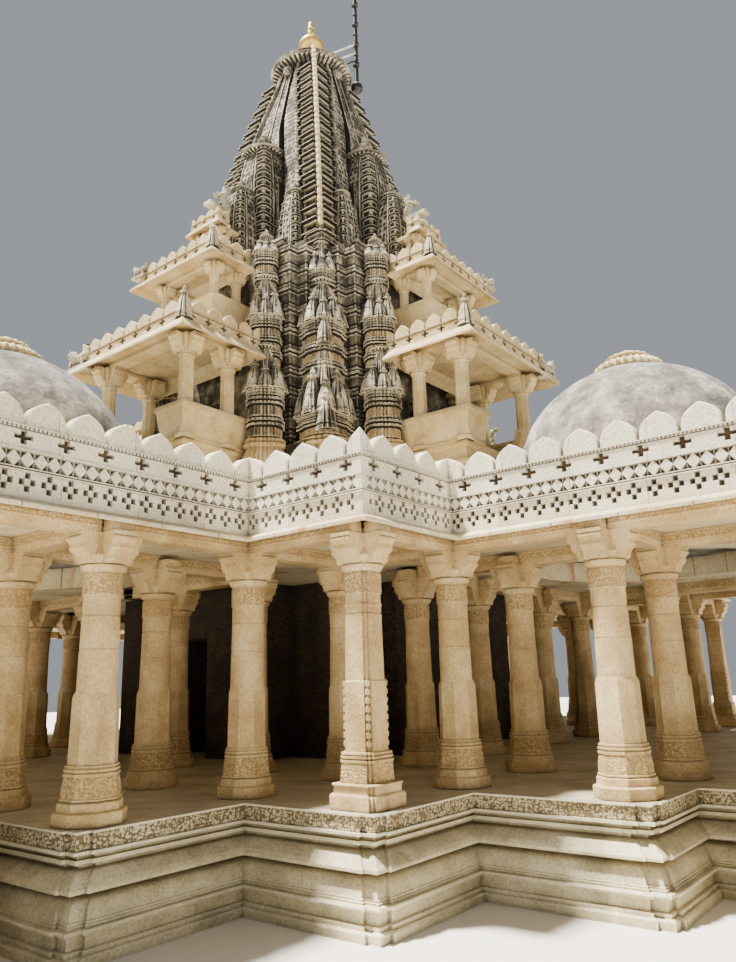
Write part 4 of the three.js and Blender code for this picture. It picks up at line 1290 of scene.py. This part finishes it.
# Half of one side of the spire's plan: distance back from its corner, least part of the half width that is
# left, and depth behind the corner's line; the bands keep their width, the middle one takes up the taper
SPIRE_STEPS = (
    (0.50, 0.50, 0.12), (0.80, 0.34, 0.12), (0.80, 0.34, 0.02), (0.90, 0.30, 0.02), (0.90, 0.30, 0.05),
    (1.42, 0.18, 0.05), (1.42, 0.18, 0.28), (1.62, 0.12, 0.28), (1.62, 0.12, 0.0), (1.70, 0.09, 0.0),
    (1.70, 0.09, 0.04),
)
SPIRE_EDGES = "sbbbnsssbbn"


def make_spire():
    """The main spire: net-carved bands between deep grooves, with stacked shelves up each corner."""
    bm = bmesh.new()
    rings = []
    for i in range(BODY_STEPS + 1):
        z = SPIRE_FOOT + (BODY_TOP - SPIRE_FOOT) * i / BODY_STEPS
        half = spire_half(z)
        side = [(max(half - back, least * half), half - deep) for back, least, deep in SPIRE_STEPS]
        outline, slots = plan(side, SPIRE_EDGES, WEATHERED, shared=False)
        rings.append([(x, y, z) for x, y in outline])
    loft(bm, rings, NETTED, slots)
    for signs in ALL_SIGNS:
        shelf_band(bm, (0, 0), spire_half, SPIRE_FOOT, SHELF_TOP, CORNER_SHELF_PITCH, CORNER_SHELF_WIDTH,
                   signs, 1.0, OCHRE_TOP)
        shelf_band(bm, (0, 0), lambda z: SHAFT_SHELF_HALF, FLOOR + 12.5, FLOOR + 13.60, 0.28, 0.62,
                   signs, 1.0)

    def before(z):
        return [spire_half(z) + 0.08] * 2

    bead_string(bm, before, FLOOR + 13.9, FLOOR + 22.2, 0.07, 0.27, CREAM)
    for turn in range(4):
        for across in (1, -1):
            def beside(z):
                half = spire_half(z)
                return (quarter(turn) @ Vector((half, across * max(half - 0.85, 0.32 * half), 0))).xy

            bead_string(bm, beside, SPIRE_FOOT, FLOOR + 21.7, 0.05, 0.19)
        bud = quarter(turn) @ Vector((spire_half(FLOOR + 21.7) + 0.02, 0, FLOOR + 21.7))
        bmesh.ops.create_icosphere(bm, subdivisions=2, radius=0.19, matrix=Matrix.Translation(bud))
    dress(finish_mesh(bm, "tower_spire_carved", TOWER_FINISHES), "tower_stone", "tower_spire")


# Sections of the crowning disc and of the gilded pot: radius, and height above the floor
AMALAKA_RIBS = 48
AMALAKA_UNDER = ((0.90, 21.86), (0.95, 21.92), (1.36, 22.08), (1.36, 22.14))
AMALAKA_UPPER = (
    (1.33, 22.09), (1.41, 22.10), (1.42, 22.19), (1.36, 22.22), (1.15, 22.30), (0.90, 22.42), (0.88, 22.50),
    (0.84, 22.56), (0.70, 22.66), (0.50, 22.80), (0.42, 22.95), (0.40, 23.18),
)
POT_FOOT = ((0.30, 23.16), (0.33, 23.20), (0.26, 23.26), (0.28, 23.30))
POT_BELLY = [(0.43 * math.sin(math.pi * (0.2 + 0.68 * i / 9)), 23.32 + 0.60 * i / 9) for i in range(10)]
POT_NECK = (
    (0.18, 23.94), (0.16, 23.97), (0.18, 24.01), (0.13, 24.04), (0.12, 24.26), (0.14, 24.29), (0.12, 24.32),
    (0.09, 24.42), (0.10, 24.48), (0.07, 24.56), (0.02, 24.63),
)


def make_crown():
    """The thin disc that crowns the spire, ribbed below with its grooves painted sooty black as shade, and
    the gilded pot on it.
    """
    bm = bmesh.new()
    loft(bm, tapered(lobed(AMALAKA_RIBS, 0.06), raised(AMALAKA_UNDER)), WEATHERED,
         [SOOTY_SHADE, WEATHERED] * AMALAKA_RIBS)
    loft(bm, tapered(polygon(64), raised(AMALAKA_UPPER)), WEATHERED)
    dress(finish_mesh(bm, "tower_amalaka_ribbed", TOWER_FINISHES), "tower_stone", "tower_amalaka")
    bm = bmesh.new()
    loft(bm, tapered(polygon(32), raised([*POT_FOOT, *POT_BELLY, *POT_NECK])))
    dress(finish_mesh(bm, "tower_kalasha_gilded", (GILT,)), "gilded_metal", "tower_kalasha")


# The pole's place, and its top and foot: radius, and height above the floor
POLE_AT = (-1.13, 1.13)
POLE_TOP = 26.4
POLE_FOOT = ((0.13, 21.75), (0.19, 21.82), (0.20, 21.98), (0.14, 22.08), (0.075, 22.12))
# Ring knobs: the first one's height, their pitch and count, and the section of one and the collar over it
KNOB_FOOT = 22.9
KNOB_PITCH = 0.87
KNOBS = 4
KNOB = (
    (0.075, -0.08), (0.115, -0.05), (0.115, 0.05), (0.075, 0.08), (0.075, 0.36), (0.09, 0.38), (0.09, 0.43),
    (0.075, 0.45),
)
# Brackets: height on the pole, then the place on the crowning disc and the finish
BRACKETS = ((23.78, (0.17, 0.98, 22.5), 1), (23.42, (0.0, 1.36, 22.22), 1), (23.1, (-0.28, 1.34, 22.2), 0))
BRACKET_RADIUS = 0.03


def make_flagpole():
    """A dark pole with ring knobs, held off the crowning disc by two pale brackets and a dark one."""
    bm = bmesh.new()
    knobs = [(radius, KNOB_FOOT + KNOB_PITCH * i + z) for i in range(KNOBS) for radius, z in KNOB]
    loft(bm, tapered(polygon(12), raised([*POLE_FOOT, *knobs, (0.065, POLE_TOP)]), POLE_AT))
    for height, end, finish in BRACKETS:
        start = Vector((*POLE_AT, FLOOR + height))
        way = Vector((end[0], end[1], FLOOR + end[2])) - start
        part = bmesh.new()
        lie = Matrix.Translation(start + way / 2) @ way.to_track_quat("Z", "Y").to_matrix().to_4x4()
        bmesh.ops.create_cone(part, cap_ends=True, segments=8, radius1=BRACKET_RADIUS, radius2=BRACKET_RADIUS,
                              depth=way.length, matrix=lie)
        paint(part.faces, finish)
        put_into(bm, part)
    dress(finish_mesh(bm, "flagpole_knobbed", (PAINTED_IRON, WHITE_IRON)), "pole_metal", "flagpole")


# Balconies

# Each tier: places out from the tower's axis and to the side, and levels above the floor
PORCHES = {
    "lower": dict(
        back=3.70, stack_out=4.79, foot=4.30, floor=7.15, sill=7.97, seat_out=6.40, seat_side=1.69,
        entry=0.85, column_out=6.27, column_back=5.00, column_side=1.58, column_half=0.175, eave=9.50,
        slab=9.78, eave_out=7.08, eave_side=2.37, parapet_out=6.80, scale=0.90, bracket=0.95,
    ),
    "middle": dict(
        back=3.70, stack_out=4.56, foot=9.85, floor=10.80, sill=11.43, seat_out=5.13, seat_side=1.12,
        entry=0.40, column_out=5.02, column_back=4.25, column_side=1.01, column_half=0.125, eave=12.25,
        slab=12.45, eave_out=5.73, eave_side=1.71, parapet_out=5.50, scale=0.78, bracket=0.6,
    ),
    "upper": dict(
        back=3.70, stack_out=4.56, foot=12.51, floor=13.00, sill=13.35, seat_out=4.42, seat_side=0.48,
        entry=0.20, column_out=4.33, column_back=4.10, column_side=0.40, column_half=0.08, eave=14.00,
        slab=14.15, eave_out=4.68, eave_side=0.69, parapet_out=4.56, scale=0.58, bracket=0.35,
    ),
}


def seat_ring(t, out, thick, z, side):
    """Plan of half a seat-back that goes round three sides, with the way in at its front."""
    points = [
        (t["back"], t["seat_side"] + out - thick),
        (t["seat_out"] + out - thick, t["seat_side"] + out - thick),
        (t["seat_out"] + out - thick, t["entry"]), (t["seat_out"] + out, t["entry"]),
        (t["seat_out"] + out, t["seat_side"] + out), (t["back"], t["seat_side"] + out),
    ]
    if side < 0:
        points = [(x, -y) for x, y in reversed(points)]
    return [(x, y, z) for x, y in points]


# Shaft and capital of a balcony column: part of its half width, and height from its foot or its head as
# parts of the half width
PORCH_SHAFT_FOOT = ((1.25, 0.0), (1.25, 0.5), (1.05, 0.7), (1.0, 1.0))
PORCH_SHAFT_HEAD = (
    (0.93, -0.8), (1.1, -0.7), (1.1, -0.5), (0.93, -0.4), (1.1, 0.0), (1.35, 0.2), (1.35, 0.5),
)
# The seat-back's section: reach out, thickness and part of its height
SEAT = (
    (0.02, 0.24, 0.0), (0.02, 0.24, 0.06), (-0.02, 0.20, 0.08), (0.00, 0.20, 0.16), (0.06, 0.20, 0.45),
    (0.15, 0.20, 0.84), (0.21, 0.28, 0.86), (0.21, 0.28, 0.96), (0.19, 0.24, 1.0),
)
# The wall's distance behind the seat-backs, and the depth of the beams on the columns
WALL_INSET = 0.14
PORCH_BEAM = 0.12


def porch_column(bm, x, y, half, foot, top, bracket):
    """A small octagonal column with a moulded foot and four bracket arms."""
    head = top - 0.40 * bracket
    profile = [(s * half, foot + z * half) for s, z in PORCH_SHAFT_FOOT]
    profile += [(s * half, head + z * half) for s, z in PORCH_SHAFT_HEAD]
    loft(bm, tapered(polygon(8), profile, (x, y)))
    core = ((half * 1.2, head), (half * 1.5, head + 0.2 * bracket), (half * 1.5, top))
    loft(bm, tapered(polygon(4), core, (x, y)))
    bracket_arms(bm, x, y, bracket, top - BRACKET_TOP * bracket)


def balcony_wall(bm, t, foot, floor):
    """The wall under a balcony: moulded under the seats, with flat pilasters along its three sides."""
    out, side = t["seat_out"] - WALL_INSET, t["seat_side"] - WALL_INSET
    rise = min(floor - foot, 1.0)
    head = floor - 0.40 * rise
    profile = (
        (0.0, foot), (0.0, floor - 0.55 * rise), (0.05, floor - 0.50 * rise), (0.05, floor - 0.42 * rise),
        (0.0, head), (0.0, floor - 0.12), (0.09, floor - 0.08), (0.10, floor - 0.02), (0.10, floor + 0.02),
    )
    loft(bm, courses(rectangle(t["back"], out, -side, side), profile))
    pitch = 0.55 * t["bracket"]
    half = 0.05 * t["bracket"] + 0.02
    for i in range(-int(side / pitch), int(side / pitch) + 1):
        block(bm, out - 0.02, out + 0.03, i * pitch - half, i * pitch + half, foot, head)
    for i in range(int((out - t["stack_out"]) / pitch) + 1):
        x = out - 0.1 - i * pitch
        for y in (side, -side):
            block(bm, x - half, x + half, y - 0.03, y + 0.03, foot, head)


def balcony(bm, t):
    """One tier: pilastered wall, seat-backs leaning out, bracket columns, a thin sloping eave, a parapet."""
    foot, floor, sill, eave, slab = [FLOOR + t[key] for key in ("foot", "floor", "sill", "eave", "slab")]
    balcony_wall(bm, t, foot, floor)
    depth = sill - floor
    size = min(1.0, depth / 0.8)
    column_out, column_side, half = t["column_out"], t["column_side"], t["column_half"]
    for side in (1, -1):
        loft(bm, [seat_ring(t, out * size, thick * size, floor + part * depth, side)
                  for out, thick, part in SEAT])
        y = side * column_side
        for x in (column_out, t["column_back"]):
            porch_column(bm, x, y, half, floor, slab - PORCH_BEAM, t["bracket"])
        block(bm, t["back"], column_out + half, y - half, y + half, slab - PORCH_BEAM, slab)
    block(bm, column_out - half, column_out + half, -column_side, column_side, slab - PORCH_BEAM, slab)
    edge = t["parapet_out"]
    run = t["eave_out"] - edge
    roof = rectangle(t["stack_out"] - 0.35, t["eave_out"], -t["eave_side"], t["eave_side"])
    loft(bm, courses(roof, ((-run, slab - 0.01), (-0.5 * run, eave + 0.14 * t["bracket"]), (0, eave),
                            (0, eave + 0.05), (-0.5 * run, slab - 0.02), (-run, slab + 0.06))))
    side = t["eave_side"] - run
    back = t["stack_out"] - 0.4
    corners = ((back, -side), (edge, -side), (edge, side), (back, side))
    bends = (0, 1, 1, 0)
    foot = slab + 0.04 - 0.63 * t["scale"]
    for i in range(len(corners) - 1):
        parapet_face(bm, corners[i], corners[i + 1], foot, bends[i:i + 2], t["scale"], False)


def make_porches():
    """The lower balconies, and the middle and upper ones as one piece a side."""
    for stem, tiers in (("porch_lower", ("lower",)), ("porch_upper", ("middle", "upper"))):
        bm = bmesh.new()
        for tier in tiers:
            balcony(bm, PORCHES[tier])
        four_pieces(bm, stem, SIDES, (PORCH_STONE, PIERCED_STONE), "porch_stone", stem + "_{}")


# Masses of a lion that looks along +x, for a length of about 1: place of the middle and half sizes
LION = (
    (0.00, 0.0, 0.30, 0.36, 0.13, 0.13), (0.24, 0.0, 0.34, 0.16, 0.14, 0.18),
    (-0.26, 0.0, 0.29, 0.15, 0.14, 0.17), (0.34, 0.0, 0.46, 0.13, 0.13, 0.15),
    (0.43, 0.0, 0.53, 0.11, 0.09, 0.09), (0.53, 0.0, 0.54, 0.08, 0.06, 0.035),
    (0.50, 0.0, 0.46, 0.07, 0.05, 0.03), (-0.42, 0.0, 0.36, 0.04, 0.04, 0.16),
    (-0.40, 0.0, 0.52, 0.06, 0.05, 0.05), (0.30, 0.09, 0.13, 0.05, 0.05, 0.15),
    (0.34, 0.09, 0.02, 0.08, 0.05, 0.03), (-0.26, 0.09, 0.13, 0.06, 0.05, 0.15),
    (-0.22, 0.09, 0.02, 0.08, 0.05, 0.03), (0.40, 0.07, 0.62, 0.03, 0.02, 0.04),
)
# The point that the body turns about when a lion rears
HAUNCH = Matrix.Translation((-0.2, 0, 0))
# Where the lions stand: the tier, the height above the floor and the size; then the one on each top roof
LION_PLACES = (("lower", 9.74, 0.95), ("middle", 12.74, 0.60))
UPPER_LION_OUT = 4.12
UPPER_LION_FOOT = FLOOR + 14.98
UPPER_LION_SIZE = 0.85
UPPER_LION_REAR = 1.05
# Corners, as index and side, that carry a pinnacle in place of a lion
PINNACLE_CORNERS = ((0, 1), (1, -1))


def lion(bm, x, y, z, turn, size, rear=0.0):
    """A worn guardian lion on a slab; rear lifts its forelegs."""
    at = Matrix.Translation((x, y, z)) @ Matrix.Rotation(turn, 4, "Z") @ Matrix.Scale(size, 4)
    slab = at @ Matrix.Translation((0.0, 0.0, -0.04)) @ Matrix.Diagonal((0.90, 0.34, 0.12, 1))
    bmesh.ops.create_cube(bm, size=1.0, matrix=slab)
    at = at @ HAUNCH @ Matrix.Rotation(-rear, 4, "Y") @ HAUNCH.inverted()
    for mx, my, mz, long, wide, high in LION:
        for side in ((1, -1) if my else (1,)):
            mass = Matrix.Translation((mx, my * side, mz)) @ Matrix.Diagonal((long, wide, high, 1))
            bmesh.ops.create_icosphere(bm, subdivisions=2, radius=1.0, matrix=at @ mass)


def make_lions():
    """Lions on the corners of the balconies' eaves, pinnacles at two corners, and a rearing lion above."""
    bm = bmesh.new()
    for index in range(4):
        for side in (1, -1):
            for tier, z, size in LION_PLACES:
                t = PORCHES[tier]
                out, across = t["parapet_out"], t["eave_side"] - t["eave_out"] + t["parapet_out"]
                if (index, side) in PINNACLE_CORNERS:
                    spot = quarter(index) @ Vector((out - 0.03, (across - 0.03) * side, 0))
                    foot = FLOOR + t["slab"] + 0.04
                    top = foot + 0.85 * t["scale"] + 0.1
                    little_spire(bm, spot.x, spot.y, 0.17 * t["scale"], foot, top, 1)
                else:
                    spot = quarter(index) @ Vector((out + 0.02, (across + 0.06) * side, 0))
                    lion(bm, spot.x, spot.y, FLOOR + z, math.pi / 2 * (index + side), size)
        spot = quarter(index) @ Vector((UPPER_LION_OUT, 0, 0))
        lion(bm, spot.x, spot.y, UPPER_LION_FOOT, math.pi / 2 * index, UPPER_LION_SIZE, UPPER_LION_REAR)
    dress(finish_mesh(bm, "guardian_lions", (STATUE_STONE, SHADE_AND_SOOT_STONE), 60), "porch_stone")


def dress_solids():
    """The solids that stay get their finishes."""
    # The inner walls and the tower's shaft get stones painted dark for their shade
    for name, material in (("sanctum_walls", INNER_STONE), ("tower_shaft", PIER_STONE)):
        mesh = frame["nodes"][name].data
        mesh.materials.clear()
        mesh.materials.append(material)


make_plinth()
make_colonnades()
make_parapets()
make_roof()
make_domes()
make_spirelets()
make_half_spires()
make_spire()
make_crown()
make_flagpole()
make_porches()
make_lions()
dress_solids()


# Camera, light and floor

# The photograph's eye, turns and lens, as fitted to the column, eave and plinth lines
EYE = Vector((17.186, 15.494, FLOOR + 1.6))
YAW = math.radians(38.113)
PITCH = math.radians(14.393)
ROLL = math.radians(-1.639)
LENS = 29.21


def make_camera():
    """The view of the photograph: from a courtyard corner, looking up at the tower."""
    level = Vector((-math.cos(YAW), -math.sin(YAW), 0))
    look = level * math.cos(PITCH) + Vector((0, 0, math.sin(PITCH)))
    right = look.cross(Vector((0, 0, 1))).normalized()
    up = right.cross(look)
    across = right * math.cos(ROLL) + up * math.sin(ROLL)
    over = up * math.cos(ROLL) - right * math.sin(ROLL)
    data = bpy.data.cameras.new("camera")
    data.sensor_fit = "VERTICAL"
    data.sensor_height = 36
    data.lens = LENS
    data.clip_end = 500
    camera = bpy.data.objects.new("camera", data)
    camera.matrix_world = Matrix((across, over, -look)).transposed().to_4x4()
    camera.matrix_world.translation = EYE
    bpy.context.scene.collection.objects.link(camera)
    bpy.context.scene.camera = camera


KEY_AZIMUTH = math.radians(-56)
KEY_ELEVATION = math.radians(68)
KEY_ENERGY = 22.0
KEY_SPREAD = math.radians(5)
SURROUND = 0.45


def make_light():
    """A soft key, high on the east side, and a pale surround."""
    data = bpy.data.lights.new("key", "SUN")
    data.energy = KEY_ENERGY
    data.angle = KEY_SPREAD
    data.color = (1.0, 0.95, 0.86)
    key = bpy.data.objects.new("key", data)
    level = math.cos(KEY_ELEVATION)
    toward = Vector((math.cos(KEY_AZIMUTH) * level, math.sin(KEY_AZIMUTH) * level, math.sin(KEY_ELEVATION)))
    key.rotation_euler = toward.to_track_quat("Z", "Y").to_euler()
    bpy.context.scene.collection.objects.link(key)
    world = bpy.data.worlds.new("surround")
    world.use_nodes = True
    background = world.node_tree.nodes["Background"]
    background.inputs[0].default_value = linear("#dfe6ee")
    background.inputs[1].default_value = SURROUND
    bpy.context.scene.world = world


def make_floor():
    """The plain floor under the temple."""
    bm = bmesh.new()
    bmesh.ops.create_grid(bm, x_segments=1, y_segments=1, size=90)
    material = bpy.data.materials.new("floor_plain_pale")
    material.use_nodes = True
    shader = material.node_tree.nodes["Principled BSDF"]
    shader.inputs["Base Color"].default_value = linear("#d6d2c8")
    shader.inputs["Roughness"].default_value = 0.9
    floor = finish_mesh(bm, "studio_floor", (material,))


make_camera()
make_light()
make_floor()
